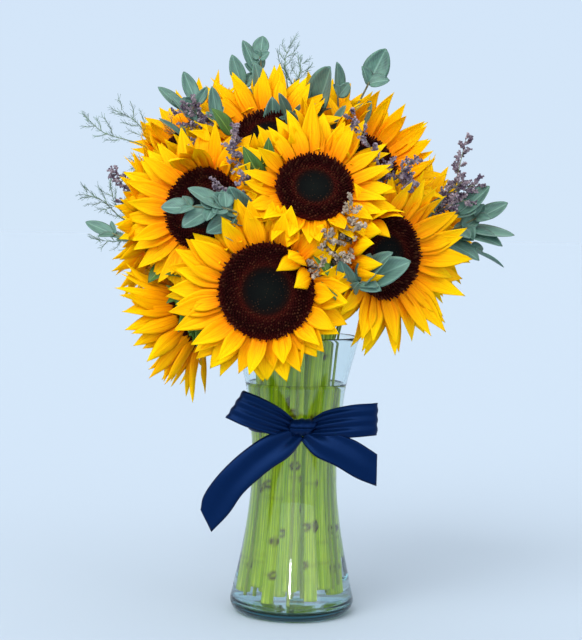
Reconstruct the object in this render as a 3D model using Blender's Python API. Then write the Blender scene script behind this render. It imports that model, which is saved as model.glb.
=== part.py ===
"""Sunflowers, eucalyptus, sea lavender and feathery sprigs in a glass vase tied with a ribbon bow.

The model is in metres with +Z up, and the origin is the middle of the vase's flat foot. The front of
the bouquet faces -Y. Tables give places in millimetres, which mm() turns into metres.
"""

import math
import random

import bmesh
import bpy
import numpy as np
from mathutils import Vector

# ------------------------------------------------------------------ driving dimensions
MM = 0.001
GAP = 0.4 * MM  # clearance between pieces that touch

VASE_SIDES = 24
VASE_WALL = 3.0 * MM
VASE_FLOOR = 8.0 * MM
VASE_OUTLINE = (  # (height, outer radius) in millimetres, foot to mouth
    (0, 47), (4, 53), (10, 56), (18, 54.7), (60, 45.8), (100, 40),
    (128, 38.5), (155, 39), (191, 43.3), (210, 46.3), (250, 56.5),
)
WATER_LEVEL = 208 * MM

STEM_PITCH = 13.2  # millimetres between the stems' middles where the vase is narrowest
STEM_SPREAD = ((0, 1.36), (60, 1.16), (135, 1.0), (175, 1.04), (245, 1.24))  # (height, spread)
STEM_FOOT = VASE_FLOOR + GAP
STEM_TOP_IN_VASE = 240 * MM
STEM_TWIST = math.radians(9)  # how far the bundle turns from foot to mouth
FLOWER_STEM_RADIUS = 5.5 * MM
SPRIG_STEM_RADIUS = 1.5 * MM
SPRIG_SIDES = 4

HEAD_DEPTH = 26 * MM  # from the disc's edge back to the stem's neck
PETAL_THICK = 1.0 * MM
PETALS = 13
BRACTS = 6

RIBBON_WIDTH = 28.6 * MM
RIBBON_THICK = 0.8 * MM
BAND_LOW, BAND_HIGH = 166 * MM, 178 * MM  # the ribbon is gathered to this height round the vase
BAND_THICK = 1.6 * MM


def mm(x, y, z):
    """A point given in millimetres, in metres."""
    return Vector((x, y, z)) * MM


# Each sunflower: name, middle of the disc's edge circle, the way it faces (azimuth from the front,
# elevation), disc radius, petal length, how far the petals cup forward, its place in the bundle
# (steps of STEM_PITCH from the middle, angle), and how far the stem leads before it bends.
FLOWERS = (
    ("front", (-26, -122, 295), (-7, 2), 40, 36, 8, (1.732, -90), (26, 28)),
    ("middle", (12, -106, 382), (4, 30), 32, 36, 12, (2, -60), (60, 35)),
    ("left", (-82, -84, 362), (-24, 8), 35, 36, 10, (2, -120), (60, 30)),
    ("top", (-29, -48, 428), (-12, 42), 30, 37, 22, (1, -120), (70, 50)),
    ("right", (75, -86, 325), (38, -2), 36, 38, 14, (1.732, -30), (45, 30)),
    ("upper_right", (57, -42, 407), (36, 36), 31, 38, 20, (1, 0), (70, 45)),
    ("low_left", (-100, -52, 267), (-104, -26), 31, 38, 38, (1.732, -150), (30, 22)),
    ("upper_left", (-97, 4, 426), (-48, 42), 30, 38, 32, (1, 180), (70, 45)),
    ("far_left", (-126, -2, 350), (-96, 2), 32, 38, 40, (2, 180), (50, 35)),
    ("top_back", (22, 48, 434), (150, 48), 31, 38, 42, (1, 60), (70, 50)),
    ("far_right", (110, 75, 346), (128, 0), 33, 38, 30, (1.732, 30), (50, 35)),
    ("back_left", (-91, 100, 339), (-150, 4), 34, 38, 25, (2, 120), (50, 35)),
    ("back", (10, 122, 361), (172, 18), 34, 38, 20, (1.732, 90), (55, 35)),
)

# Each sprig: name, its place in the bundle, the points that its stem passes above the vase, and its
# leaves or tufts as (how far along the stem above the vase, tip, width).
EUCALYPTUS = (
    ("top_left", (0.577, 90), ((-18, 12, 330), (-32, -2, 440), (-38, -2, 500)),
     ((0.5, (-42, -24, 456), 16), (0.62, (-58, -8, 478), 12), (0.75, (-20, 8, 500), 13),
      (0.9, (-54, 2, 513), 12), (1.0, (-33, 0, 524), 12))),
    ("top", (0, 0), ((2, 4, 330), (8, -6, 420), (12, -30, 462)),
     ((0.7, (38, -34, 458), 10), (0.75, (2, -12, 490), 13), (0.8, (-20, -38, 468), 9),
      (0.95, (24, -40, 497), 22))),
    ("top_right", (0.577, 30), ((14, 12, 330), (38, 8, 430), (58, 0, 475)),
     ((0.7, (72, 12, 462), 13), (0.75, (38, -8, 488), 15), (1.0, (76, 0, 512), 20))),
    ("upper_left", (0.577, 150), ((-28, 4, 330), (-54, -34, 392), (-86, -40, 438)),
     ((0.75, (-124, -42, 440), 12), (0.85, (-116, -40, 462), 12), (0.9, (-78, -48, 468), 12),
      (0.95, (-126, -32, 468), 13), (1.0, (-104, -30, 482), 12))),
    ("left", (1, -60), ((-6, -40, 300), (-38, -84, 346), (-56, -117, 361), (-88, -122, 363)),
     ((0.55, (-58, -120, 384), 18), (0.6, (-70, -122, 336), 15), (0.8, (-84, -120, 388), 18),
      (0.88, (-98, -118, 344), 18), (1.0, (-116, -112, 366), 18))),
    ("right", (2.42, -30), ((38, -34, 262), (44, -88, 284), (54, -122, 310)),
     ((0.9, (34, -126, 322), 17), (1.0, (92, -124, 322), 24))),
    ("far_right", (2.42, 30), ((42, 6, 268), (96, -2, 330), (150, -12, 352)),
     ((0.7, (128, -24, 378), 16), (0.8, (168, -18, 388), 18), (0.85, (160, -22, 322), 16),
      (0.92, (186, -6, 374), 15), (0.9, (184, -8, 316), 14), (1.0, (192, -12, 345), 22))),
    ("far_left", (2.42, -150), ((-44, -22, 270), (-104, -47, 316), (-160, -38, 338)),
     ((0.8, (-168, -42, 318), 12), (0.88, (-174, -34, 362), 12), (1.0, (-194, -30, 348), 12))),
    ("back", (1, 120), ((-12, 40, 300), (-22, 84, 380), (-34, 104, 440)),
     ((0.7, (-58, 112, 412), 18), (0.8, (-6, 112, 446), 18), (0.9, (-62, 102, 456), 18),
      (1.0, (-38, 112, 478), 16))),
)
SEA_LAVENDER = (
    ("upper_left", (0.577, -150), ((-26, -4, 330), (-62, -14, 400), (-84, -26, 440)),
     ((0.8, (-98, -38, 440), 12), (0.9, (-96, -28, 462), 13), (1.0, (-80, -28, 474), 13))),
    ("left", (0.577, -90), ((-8, -30, 320), (-34, -66, 366), (-50, -82, 392)),
     ((0.85, (-72, -98, 392), 13), (0.95, (-40, -94, 406), 12), (1.0, (-62, -68, 430), 14))),
    ("middle", (2.42, -90), ((14, -62, 280), (30, -88, 316), (38, -98, 346)),
     ((0.75, (27, -108, 326), 17), (0.85, (46, -104, 340), 16), (0.95, (32, -108, 354), 15),
      (1.0, (54, -98, 366), 15))),
    ("upper_right", (2, 0), ((38, -12, 290), (62, -58, 360), (84, -80, 392)),
     ((0.8, (72, -90, 388), 12), (0.9, (101, -86, 392), 13), (1.0, (106, -80, 412), 13))),
    ("far_right", (1.528, -10.9), ((32, -4, 290), (98, 2, 352), (138, -14, 388)),
     ((0.75, (124, -26, 372), 13), (0.85, (162, -14, 386), 12), (0.95, (158, -14, 410), 13),
      (1.0, (142, -12, 430), 12))),
    ("far_left", (1.528, -169.1), ((-44, -8, 280), (-98, -43, 338), (-138, -41, 369)),
     ((0.8, (-154, -36, 366), 12), (0.9, (-134, -38, 388), 12), (1.0, (-162, -30, 394), 13))),
)
FEATHERY = (
    ("upper_left", (1.732, 150), ((-44, 26, 290), (-98, 36, 392), (-150, 12, 422)),
     ((0.7, (-128, 22, 442), 9), (0.8, (-152, 4, 398), 9), (0.9, (-172, 10, 452), 9),
      (1.0, (-196, 2, 446), 10))),
    ("far_left", (2.42, 150), ((-46, 26, 270), (-112, 43, 326), (-165, 34, 354)),
     ((0.75, (-164, 26, 332), 9), (0.85, (-190, 24, 334), 9), (0.92, (-174, 26, 386), 9),
      (1.0, (-199, 8, 374), 10))),
    ("top", (0.577, -30), ((0, -2, 330), (-8, 6, 430), (-14, 0, 480)),
     ((0.85, (-23, 6, 496), 8), (0.95, (-5, -2, 508), 8), (1.0, (-17, 0, 520), 9))),
)
SPRIGS = tuple((kind + row[0], shape) + row[1:] for kind, shape, rows in (
    ("eucalyptus_", "leaf", EUCALYPTUS), ("sea_lavender_", "tuft", SEA_LAVENDER),
    ("feathery_", "tuft", FEATHERY)) for row in rows)

# The bow: how far out each loop and tail goes, in millimetres, as (middle of the ribbon, its half
# width across as a vector).
KNOT = (6, -47, 172)
LOOP_LEFT = (
    ((-2, -47, 173), (0, 0, 8)), ((-16, -53, 179), (3, 0, 12)), ((-36, -57, 187), (6, 1, 13)),
    ((-49, -55, 192), (7.5, 0, 12.3)), ((-53, -50, 193), (7.5, 0, 12.3)),
    ((-44, -46.5, 189), (6, -1, 12.6)), ((-24, -46, 181), (4, 0, 11)), ((-4, -46, 173), (0, 0, 7)),
)
LOOP_RIGHT = (
    ((14, -47, 173), (0, 0, 8)), ((28, -53, 177), (-1, 0, 12.5)), ((50, -57, 181), (-1, 1, 14.2)),
    ((67, -55, 182.5), (0, 0, 14.3)), ((71.5, -50, 182.5), (0, 0, 14.3)),
    ((62, -46.5, 181), (0, -1, 14)), ((36, -46, 177), (-1, 0, 11.5)), ((16, -46, 173), (0, 0, 7)),
)
TAIL_LEFT = (
    ((2, -48, 168), (-6, 0, 4)), ((-14, -54.5, 158), (-10, 0, 9)), ((-34, -57, 144), (-12, 0, 7.8)),
    ((-54, -58.5, 125), (-11, 0, 8)), ((-67, -58, 106), (-11, 1, 8)), ((-76, -57, 91), (-5, 1, 9.5)),
)
TAIL_RIGHT = (
    ((10, -48, 168), (6, 0, 4)), ((26, -54.5, 160), (9, 0, 10)), ((44, -57, 153), (8, 0, 11.6)),
    ((60, -58, 144), (6, 0, 12.6)), ((72, -57, 138.5), (0, 0, 14)),
)


# ------------------------------------------------------------------ mesh helpers
def clear_scene():
    for item in list(bpy.data.objects):
        bpy.data.objects.remove(item, do_unlink=True)


def material(name, colour, roughness, alpha=1.0):
    made = bpy.data.materials.new(name)
    made.use_nodes = True
    shader = made.node_tree.nodes["Principled BSDF"]
    shader.inputs["Base Color"].default_value = (*colour, 1.0)
    shader.inputs["Roughness"].default_value = roughness
    shader.inputs["Metallic"].default_value = 0.0
    shader.inputs["Alpha"].default_value = alpha
    return made


def loft(bm, rings, crossed=()):
    """Adds one closed body through rings of points; the next ring may have twice as many points.

    The sides numbered in crossed are split along their other diagonal, so that the two faces of a thin
    strip bend alike.
    """
    rows = [[bm.verts.new(point) for point in ring] for ring in rings]
    for low, high in zip(rows, rows[1:]):
        count = len(low)
        for i in range(count):
            j = (i + 1) % count
            if len(high) == count and i in crossed:
                bm.faces.new((low[i], low[j], high[i]))
                bm.faces.new((low[j], high[j], high[i]))
            elif len(high) == count:
                bm.faces.new((low[i], low[j], high[j]))
                bm.faces.new((low[i], high[j], high[i]))
            else:
                middle, after = high[2 * i + 1], high[(2 * i + 2) % len(high)]
                bm.faces.new((low[i], middle, high[2 * i]))
                bm.faces.new((low[i], low[j], middle))
                bm.faces.new((low[j], after, middle))
    bm.faces.new(rows[0][::-1])
    bm.faces.new(rows[-1])


def object_from(bm, name, finish):
    bmesh.ops.recalc_face_normals(bm, faces=bm.faces)
    mesh = bpy.data.meshes.new(name)
    bm.to_mesh(mesh)
    bm.free()
    made = bpy.data.objects.new(name, mesh)
    bpy.context.scene.collection.objects.link(made)
    if finish:
        mesh.materials.append(finish)
    mesh.shade_smooth()
    mesh.set_sharp_from_angle(angle=math.radians(40))
    return made


def lofted(name, rings, finish=None, crossed=()):
    bm = bmesh.new()
    loft(bm, rings, crossed)
    return object_from(bm, name, finish)


TOP_FACE = (2,)  # the side of a strip's or leaf's ring that is its upper face


def boolean(body, cutter, operation, solver="EXACT"):
    """Joins or cuts a body with another, which is then removed."""
    step = body.modifiers.new("step", "BOOLEAN")
    step.operation = operation
    step.solver = solver
    step.object = cutter
    evaluated = body.evaluated_get(bpy.context.evaluated_depsgraph_get())
    mesh = bpy.data.meshes.new_from_object(evaluated)
    body.modifiers.remove(step)
    old, body.data = body.data, mesh
    mesh.name = body.name
    bpy.data.meshes.remove(old)
    bpy.data.objects.remove(cutter, do_unlink=True)


def keep_largest(body):
    """Leaves only the largest separate piece of a body that was cut."""
    bm = bmesh.new()
    bm.from_mesh(body.data)
    left, islands = set(bm.faces), []
    while left:
        front = [left.pop()]
        island = set(front)
        while front:
            edges = front.pop().edges
            beside = {face for edge in edges for face in edge.link_faces} & left
            left -= beside
            island |= beside
            front += list(beside)
        islands.append(island)
    islands.sort(key=lambda island: sum(face.calc_area() for face in island))
    bmesh.ops.delete(bm, geom=[face for island in islands[:-1] for face in island], context="FACES")
    bm.to_mesh(body.data)
    bm.free()


def join_flat_faces(body):
    """Joins the triangles that a flat face was split into."""
    bm = bmesh.new()
    bm.from_mesh(body.data)
    bmesh.ops.dissolve_limit(bm, angle_limit=math.radians(0.03), verts=bm.verts, edges=bm.edges)
    bm.to_mesh(body.data)
    bm.free()


def bounds(body):
    points = [v.co for v in body.data.vertices]
    return ([min(p[k] for p in points) for k in range(3)], [max(p[k] for p in points) for k in range(3)])


def near(box_a, box_b):
    return all(box_a[0][k] < box_b[1][k] and box_b[0][k] < box_a[1][k] for k in range(3))


# ------------------------------------------------------------------ curves
def read_at(table, at):
    """Reads a (position, value) table with straight runs between its rows."""
    for (a, value_a), (b, value_b) in zip(table, table[1:]):
        if at <= b:
            break
    share = min(1.0, max(0.0, (at - a) / (b - a)))
    return value_a + (value_b - value_a) * share


def smooth_line(points, per_span):
    """Points on the smooth curve that passes through the given ones."""
    ends = [points[0] * 2 - points[1]] + list(points) + [points[-1] * 2 - points[-2]]
    line = []
    for a, b, c, d in zip(ends, ends[1:], ends[2:], ends[3:]):
        for i in range(per_span):
            t = i / per_span
            line.append(b + (c - a) * (t / 2) + (a * 2 - b * 5 + c * 4 - d) * (t * t / 2)
                        + (b * 3 - a - c * 3 + d) * (t ** 3 / 2))
    return line + [points[-1]]


def even_line(points, count):
    """The same line with its points evenly spaced."""
    lengths = [0.0]
    for a, b in zip(points, points[1:]):
        lengths.append(lengths[-1] + (b - a).length)
    made, k = [], 0
    for i in range(count):
        want = lengths[-1] * i / (count - 1)
        while k < len(points) - 2 and lengths[k + 1] < want:
            k += 1
        made.append(points[k].lerp(points[k + 1], (want - lengths[k]) / (lengths[k + 1] - lengths[k])))
    return made


def tube_rings(points, radii, sides, level_foot=False):
    """Rings of a round tube along points, which turn as little as they can."""
    rings, across = [], None
    for i, point in enumerate(points):
        along = (points[min(i + 1, len(points) - 1)] - points[max(i - 1, 0)]).normalized()
        if level_foot and i == 0:
            along = Vector((0, 0, 1))
        if across is None:
            across = Vector((1, 0, 0))
        across = (across - along * across.dot(along)).normalized()
        up = along.cross(across)
        turns = [2 * math.pi * k / sides for k in range(sides)]
        rings.append([point + (across * math.cos(a) + up * math.sin(a)) * radii[i] for a in turns])
    return rings, across


def facing(azimuth, elevation):
    """The direction of an azimuth, from the front towards +X, and an elevation, in degrees."""
    a, e = math.radians(azimuth), math.radians(elevation)
    return Vector((math.sin(a) * math.cos(e), -math.cos(a) * math.cos(e), math.sin(e)))


# ------------------------------------------------------------------ stems
def place_in_bundle(slot, height):
    """Where a stem of the bundle is at a height inside the vase."""
    steps, angle = slot
    radius = steps * STEM_PITCH * MM * read_at(STEM_SPREAD, height / MM)
    turn = math.radians(angle) + STEM_TWIST * (height / STEM_TOP_IN_VASE - 0.5)
    return Vector((radius * math.cos(turn), radius * math.sin(turn), height))


LOW_HEIGHTS = (STEM_FOOT, 70 * MM, 135 * MM, 190 * MM)
LEAD_HEIGHT = 215 * MM  # a stem keeps the direction it has from here to the top of the vase's neck
CURVE_STEPS = 40
ROUTE_STEPS = 12
UPPER_POINTS = 29
HELD_AT_HEAD, HELD_AT_TIP = 3, 8  # points at the end of a flower's stem and of a sprig that stay put

# How the stems are eased apart.
EASE_ROUNDS = 150
STEM_ROOM = 1.6 * MM  # space kept between two stems
STEM_PUSH = 0.35
HEAD_ROOM = 1.5 * MM  # space kept round a flower head
HEAD_MIDDLE, HEAD_HALF = 12 * MM, 17 * MM  # middle of a head behind its disc's edge, half its depth
HEAD_PUSH, SIDE_SHARE = 20 * MM, 0.5
STRAIGHTENING = 0.4


def upper_line(slot, ends):
    """The stretch of a stem above the vase's neck, before the stems are eased apart."""
    start = place_in_bundle(slot, STEM_TOP_IN_VASE)
    before = place_in_bundle(slot, LEAD_HEIGHT)
    lead = (start - before).normalized()
    if isinstance(ends, dict):
        reach, back = ends["lead"]
        bend_1 = start + lead * reach * MM
        bend_2 = ends["neck"] - ends["way"] * back * MM
        line = []
        for i in range(CURVE_STEPS + 1):
            t = i / CURVE_STEPS
            line.append(start * (1 - t) ** 3 + bend_1 * (3 * t * (1 - t) ** 2)
                        + bend_2 * (3 * t * t * (1 - t)) + ends["neck"] * t ** 3)
    else:
        line = smooth_line([start] + [mm(*point) for point in ends], ROUTE_STEPS)
    return even_line(line, UPPER_POINTS)


def ease_apart(lines, radii, held, heads, owners):
    """Moves the stems' free points until no stem touches another stem or a flower head."""
    points = np.array([[tuple(p) for p in line] for line in lines])
    stems, count, _ = points.shape
    rest = np.zeros_like(points)
    rest[:, 1:-1] = (points[:, :-2] + points[:, 2:]) / 2 - points[:, 1:-1]
    free = np.ones((stems, count, 1))
    for k in range(stems):
        free[k, :2] = 0
        free[k, count - held[k]:] = 0
    of_stem = np.repeat(np.arange(stems), count)
    radius = np.repeat(np.array(radii), count)
    reach = radius[:, None] + radius[None, :] + STEM_ROOM
    reach[of_stem[:, None] == of_stem[None, :]] = 0
    for _ in range(EASE_ROUNDS):
        flat = points.reshape(-1, 3)
        apart = flat[:, None, :] - flat[None, :, :]
        distance = np.sqrt((apart ** 2).sum(2)) + 1e-9
        depth = np.clip(reach - distance, 0, None)
        push = (apart / distance[..., None] * depth[..., None]).sum(1)
        push *= STEM_PUSH / np.maximum(1, (depth > 0).sum(1))[:, None] ** 0.5
        for (centre, way, wide), owner in zip(heads, owners):
            offset = flat - centre
            deep = offset @ way + HEAD_MIDDLE
            out = offset - np.outer(offset @ way, way)
            spread = np.sqrt((out ** 2).sum(1)) + 1e-9
            room = radius + HEAD_ROOM
            inside = np.sqrt((spread / (wide + room)) ** 2 + (deep / (HEAD_HALF + room)) ** 2)
            short = np.clip(1 - inside, 0, None) * (of_stem != owner)
            away = out / spread[:, None] * SIDE_SHARE + np.outer(np.sign(deep), way)
            push += away * (short * HEAD_PUSH)[:, None]
        points += push.reshape(points.shape) * free
        pull = np.zeros_like(points)
        pull[:, 1:-1] = (points[:, :-2] + points[:, 2:]) / 2 - points[:, 1:-1] - rest[:, 1:-1]
        points += STRAIGHTENING * pull * free
    return [[Vector(p) for p in line] for line in points]


def plan_stems():
    """The whole middle line of every stem, by the name of its flower or sprig."""
    names, lines, radii, held, heads, owners = [], [], [], [], [], []
    for name, centre, way, radius, _, _, slot, lead in FLOWERS:
        way = facing(*way)
        ends = {"neck": mm(*centre) - way * HEAD_DEPTH, "way": way, "lead": lead}
        heads.append((np.array(mm(*centre)), np.array(way), radius * MM))
        owners.append(len(names))
        names.append(name)
        lines.append(upper_line(slot, ends))
        radii.append(FLOWER_STEM_RADIUS)
        held.append(HELD_AT_HEAD)
    for name, _, slot, route, _ in SPRIGS:
        names.append(name)
        lines.append(upper_line(slot, route))
        radii.append(SPRIG_STEM_RADIUS)
        held.append(HELD_AT_TIP)
    lines = ease_apart(lines, radii, held, heads, owners)
    slots = [row[6] for row in FLOWERS] + [row[2] for row in SPRIGS]
    whole = {}
    for name, slot, line in zip(names, slots, lines):
        low = [place_in_bundle(slot, height) for height in LOW_HEIGHTS]
        whole[name] = (low, line)
    return whole


# ------------------------------------------------------------------ glass, water and ribbon
def vase_radius(height):
    return read_at(VASE_OUTLINE, height / MM) * MM


def round_ring(radius, height, sides=VASE_SIDES):
    turns = [2 * math.pi * k / sides for k in range(sides)]
    return [Vector((radius * math.cos(a), radius * math.sin(a), height)) for a in turns]


def make_vase(glass):
    outside = [round_ring(radius * MM, height * MM) for height, radius in VASE_OUTLINE]
    levels = [height for height, _ in VASE_OUTLINE if height * MM > VASE_FLOOR + 4 * MM][::-1]
    inside = [round_ring(vase_radius(z * MM) - VASE_WALL, z * MM) for z in levels[1:]]
    mouth = [round_ring(vase_radius(VASE_OUTLINE[-1][0] * MM) - VASE_WALL, VASE_OUTLINE[-1][0] * MM)]
    heel = vase_radius(VASE_FLOOR) - VASE_WALL
    floor = [round_ring(heel, VASE_FLOOR + 3 * MM), round_ring(heel - 3 * MM, VASE_FLOOR)]
    return lofted("vase", outside + mouth + inside + floor, glass)


def make_water(finish, lines):
    heel = vase_radius(VASE_FLOOR) - VASE_WALL - GAP
    rings = [round_ring(heel - 3.2 * MM, VASE_FLOOR + GAP), round_ring(heel, VASE_FLOOR + 3.2 * MM)]
    for height, radius in VASE_OUTLINE:
        if VASE_FLOOR + 4 * MM < height * MM < WATER_LEVEL - 5 * MM:
            rings.append(round_ring(radius * MM - VASE_WALL - GAP, height * MM))
    rings.append(round_ring(vase_radius(WATER_LEVEL) - VASE_WALL - GAP, WATER_LEVEL))
    water = lofted("water", rings, finish)
    for name, (low, upper) in lines.items():
        flower = any(row[0] == name for row in FLOWERS)
        radius = (FLOWER_STEM_RADIUS if flower else SPRIG_STEM_RADIUS) + GAP
        points = low + upper[:9:4]
        sides = BRACTS if flower else SPRIG_SIDES
        rings, _ = tube_rings(points, [radius] * len(points), sides, level_foot=True)
        rings[0] = [point + (points[0] - points[1]) * 0.05 for point in rings[0]]
        boolean(water, lofted("hole", rings), "DIFFERENCE")
    return water


def strip_rings(places):
    """Rings of a flat ribbon along places, each a middle and its half width as a vector."""
    middles = [mm(*place) for place, _ in places]
    widths = [mm(*half) for _, half in places]
    rings = []
    for i, (middle, half) in enumerate(zip(middles, widths)):
        along = middles[min(i + 1, len(middles) - 1)] - middles[max(i - 1, 0)]
        face = along.cross(half).normalized() * RIBBON_THICK / 2
        rings.append([middle - half - face, middle + half - face,
                      middle + half + face, middle - half + face])
    return rings


def make_ribbon(satin):
    bm = bmesh.new()
    levels = (BAND_LOW, BAND_HIGH)
    loops = []
    for offset, heights in ((GAP + BAND_THICK, levels), (GAP, levels[::-1])):
        loops += [round_ring(vase_radius(z) + offset, z) for z in heights]
    rows = [[bm.verts.new(point) for point in ring] for ring in loops]
    for low, high in zip(rows, rows[1:] + rows[:1]):
        for i in range(VASE_SIDES):
            j = (i + 1) % VASE_SIDES
            bm.faces.new((low[i], low[j], high[j], high[i]))
    ribbon = object_from(bm, "ribbon", satin)
    knot = []
    for across, size in ((-12, 5), (-8, 8.6), (0, 10), (8, 8.6), (12, 5)):
        turns = [2 * math.pi * k / 8 for k in range(8)]
        knot.append([mm(KNOT[0] + across, KNOT[1] + 0.62 * size * math.cos(a),
                        KNOT[2] + size * math.sin(a)) for a in turns])
    boolean(ribbon, lofted("knot", knot), "UNION")
    for places in (LOOP_LEFT, LOOP_RIGHT, TAIL_LEFT, TAIL_RIGHT):
        boolean(ribbon, lofted("strip", strip_rings(places), crossed=TOP_FACE), "UNION")
    return ribbon


# ------------------------------------------------------------------ flower heads
def head_point(centre, frame, radius, turn, height):
    across, up, way = frame
    return centre + (across * math.cos(turn) + up * math.sin(turn)) * radius + way * height


def head_ring(centre, frame, radius, height, sides, star=0.0):
    """A ring round a flower head; star pulls every other point in by that much."""
    ring = []
    for k in range(sides):
        reach = radius - (star if k % 2 else 0.0)
        ring.append(head_point(centre, frame, reach, 2 * math.pi * k / sides, height))
    return ring


def stem_body(name, flower, line, grow=0.0, finish=None):
    """A stem with the green receptacle and bracts that carry the flower head."""
    _, centre, way, radius, *_ = flower
    centre, way, radius = mm(*centre), facing(*way), radius * MM
    low, upper = line
    points = low + upper[::4]
    radii = [FLOWER_STEM_RADIUS + grow] * len(points)
    rings, across = tube_rings(points, radii, BRACTS, level_foot=True)
    across = (across - way * across.dot(way)).normalized()
    frame = (across, way.cross(across), way)
    sides = 2 * BRACTS
    for share, height in ((0.30, -20), (0.58, -16.6), (0.72, -14.6)):
        rings.append(head_ring(centre, frame, radius * share + grow, height * MM - grow, sides))
    tip = radius + 10 * MM + grow
    star = tip - 0.86 * radius - grow
    rings.append(head_ring(centre, frame, tip, -13.4 * MM - grow, sides, star))
    rings.append(head_ring(centre, frame, tip, -12.2 * MM + grow, sides, star))
    rings.append(head_ring(centre, frame, radius * 0.66, -8.0 * MM + grow, sides))
    rings.append(head_ring(centre, frame, radius * 0.54 + grow, -8.0 * MM + grow, sides))
    rings.append(head_ring(centre, frame, radius * 0.54 + grow, -6.6 * MM + grow, sides))
    return lofted(name, rings, finish)


def flower_frame(way):
    across = Vector((0, 0, 1)).cross(way).normalized()
    return across, way.cross(across), way


def disc_body(name, flower, grow=0.0, finish=None):
    """The dark dome of florets, a little sunk in its middle."""
    _, centre, way, radius, *_ = flower
    centre, frame, radius = mm(*centre), flower_frame(facing(*way)), radius * MM
    shape = ((0.93, -6.2, -1), (1.0, -1.0, 0), (0.80, 3.2, 1), (0.40, 3.0, 1))
    rings = [head_ring(centre, frame, radius * share + grow, height * MM + grow * side, 12)
             for share, height, side in shape]
    return lofted(name, rings, finish)


def petal_body(name, flower, grow=0.0, finish=None):
    """The ring of petals, whose claws sit between the disc and the receptacle."""
    _, centre, way, radius, length, cup, *_ = flower
    centre, frame = mm(*centre), flower_frame(facing(*way))
    rise = math.tan(math.radians(cup))
    draw = random.Random(name.split("_petals")[0])
    reaches = [length * draw.uniform(0.9, 1.04) for _ in range(PETALS)]
    lifts = [draw.uniform(-2.5, 2.5) for _ in range(PETALS)]
    turn = draw.uniform(0, 1)
    slope = math.cos(math.radians(cup))
    bottoms = []

    def ring(reach, lift, shift, top):
        made = []
        for k in range(PETALS):
            outward = radius + (reach[k] if isinstance(reach, list) else reach) * slope
            height = -7.6 + rise * max(0.0, outward - 0.96 * radius)
            height += lift[k] if isinstance(lift, list) else lift
            height = height * MM + (PETAL_THICK + grow if top else -grow)
            angle = 2 * math.pi * (k + shift + turn) / PETALS
            made.append(head_point(centre, frame, outward * MM, angle, height))
        return made

    bm = bmesh.new()
    sides = []
    for top in (False, True):
        inner = ring(-0.40 * radius / slope, 0, 0, top)
        edge = ring(-0.04 * radius / slope, 0, 0, top)
        notch = ring(0.42 * length, 0, 0, top)
        tips = ring([reach + grow / MM for reach in reaches], lifts, 0.5, top)
        sides.append([[bm.verts.new(point) for point in row] for row in (inner, edge, notch, tips)])
    for inner, edge, notch, tips in sides:
        for k in range(PETALS):
            j = (k + 1) % PETALS
            bm.faces.new((inner[k], inner[j], edge[j], edge[k]))
            bm.faces.new((edge[k], edge[j], notch[j], notch[k]))
            bm.faces.new((notch[k], notch[j], tips[k]))
    (inner_a, _, notch_a, tips_a), (inner_b, _, notch_b, tips_b) = sides
    for k in range(PETALS):
        j = (k + 1) % PETALS
        bm.faces.new((inner_a[k], inner_a[j], inner_b[j], inner_b[k]))
        bm.faces.new((notch_a[k], tips_a[k], tips_b[k], notch_b[k]))
        bm.faces.new((tips_a[k], notch_a[j], notch_b[j], tips_b[k]))
    return object_from(bm, name, finish)


# ------------------------------------------------------------------ sprigs
def leaf_rings(base, tip, width, grow):
    """A flat pointed leaf from its base to its tip, with its face turned up and to the front."""
    along = (tip - base).normalized()
    side = along.cross(Vector((0.15, -0.9, 0.6))).normalized()
    face = side.cross(along)
    thick = 0.5 * MM + grow
    rings = []
    for share, wide in ((-0.03, 0.14), (0.48, 1.0), (1.0, 0.10)):
        middle = base.lerp(tip, share)
        half = side * (width / 2 * wide + grow)
        rings.append([middle - half - face * thick, middle + half - face * thick,
                      middle + half + face * thick, middle - half + face * thick])
    return rings


def tuft_rings(base, tip, width, grow):
    """A spindle that holds a tuft of tiny flowers or needles."""
    shape = ((-0.02, 0.8 * MM), (0.3, 0.9 * MM), (0.65, width / 2), (1.02, 0.8 * MM))
    points = [base.lerp(tip, share) for share, _ in shape]
    rings, _ = tube_rings(points, [radius + grow for _, radius in shape], SPRIG_SIDES)
    return rings


def sprig_solids(row, line, grow=0.0):
    """The rings of a sprig's stem and of each of its leaves or tufts."""
    _, kind, _, _, ends = row
    low, upper = line
    points = low + upper[::4]
    radii = [SPRIG_STEM_RADIUS + grow] * (len(points) - 1) + [SPRIG_STEM_RADIUS * 0.7 + grow]
    stem, _ = tube_rings(points, radii, SPRIG_SIDES, level_foot=True)
    solids = [stem]
    shape = leaf_rings if kind == "leaf" else tuft_rings
    for share, tip, width in ends:
        base = read_line(upper, share)
        solids.append(shape(base, mm(*tip), width * MM, grow))
    return solids


def read_line(line, share):
    """The point at a share of a line's length."""
    at = share * (len(line) - 1)
    k = min(int(at), len(line) - 2)
    return line[k].lerp(line[k + 1], at - k)


def sprig_body(row, line, finish):
    stem, *ends = sprig_solids(row, line)
    body = lofted(row[0], stem, finish)
    for rings in ends:
        boolean(body, lofted("end", rings, crossed=TOP_FACE), "UNION")
    return body


# ------------------------------------------------------------------ the bouquet
def cut_by(body, cutters, owner=None):
    """Cuts a body by each cutter of another owner whose box comes near.

    The exact solver leaves a few of the thin petals uncut, so these cuts use the manifold one.
    """
    box = bounds(body)
    for cutter_owner, cutter_box, make in cutters:
        if cutter_owner != owner and near(box, cutter_box):
            boolean(body, make(), "DIFFERENCE", solver="MANIFOLD")
    keep_largest(body)


def as_cutter(owner, make):
    """A cutter: whose piece it is, its box, and the function that makes it."""
    trial = make()
    box = bounds(trial)
    bpy.data.objects.remove(trial, do_unlink=True)
    return owner, box, make


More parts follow.
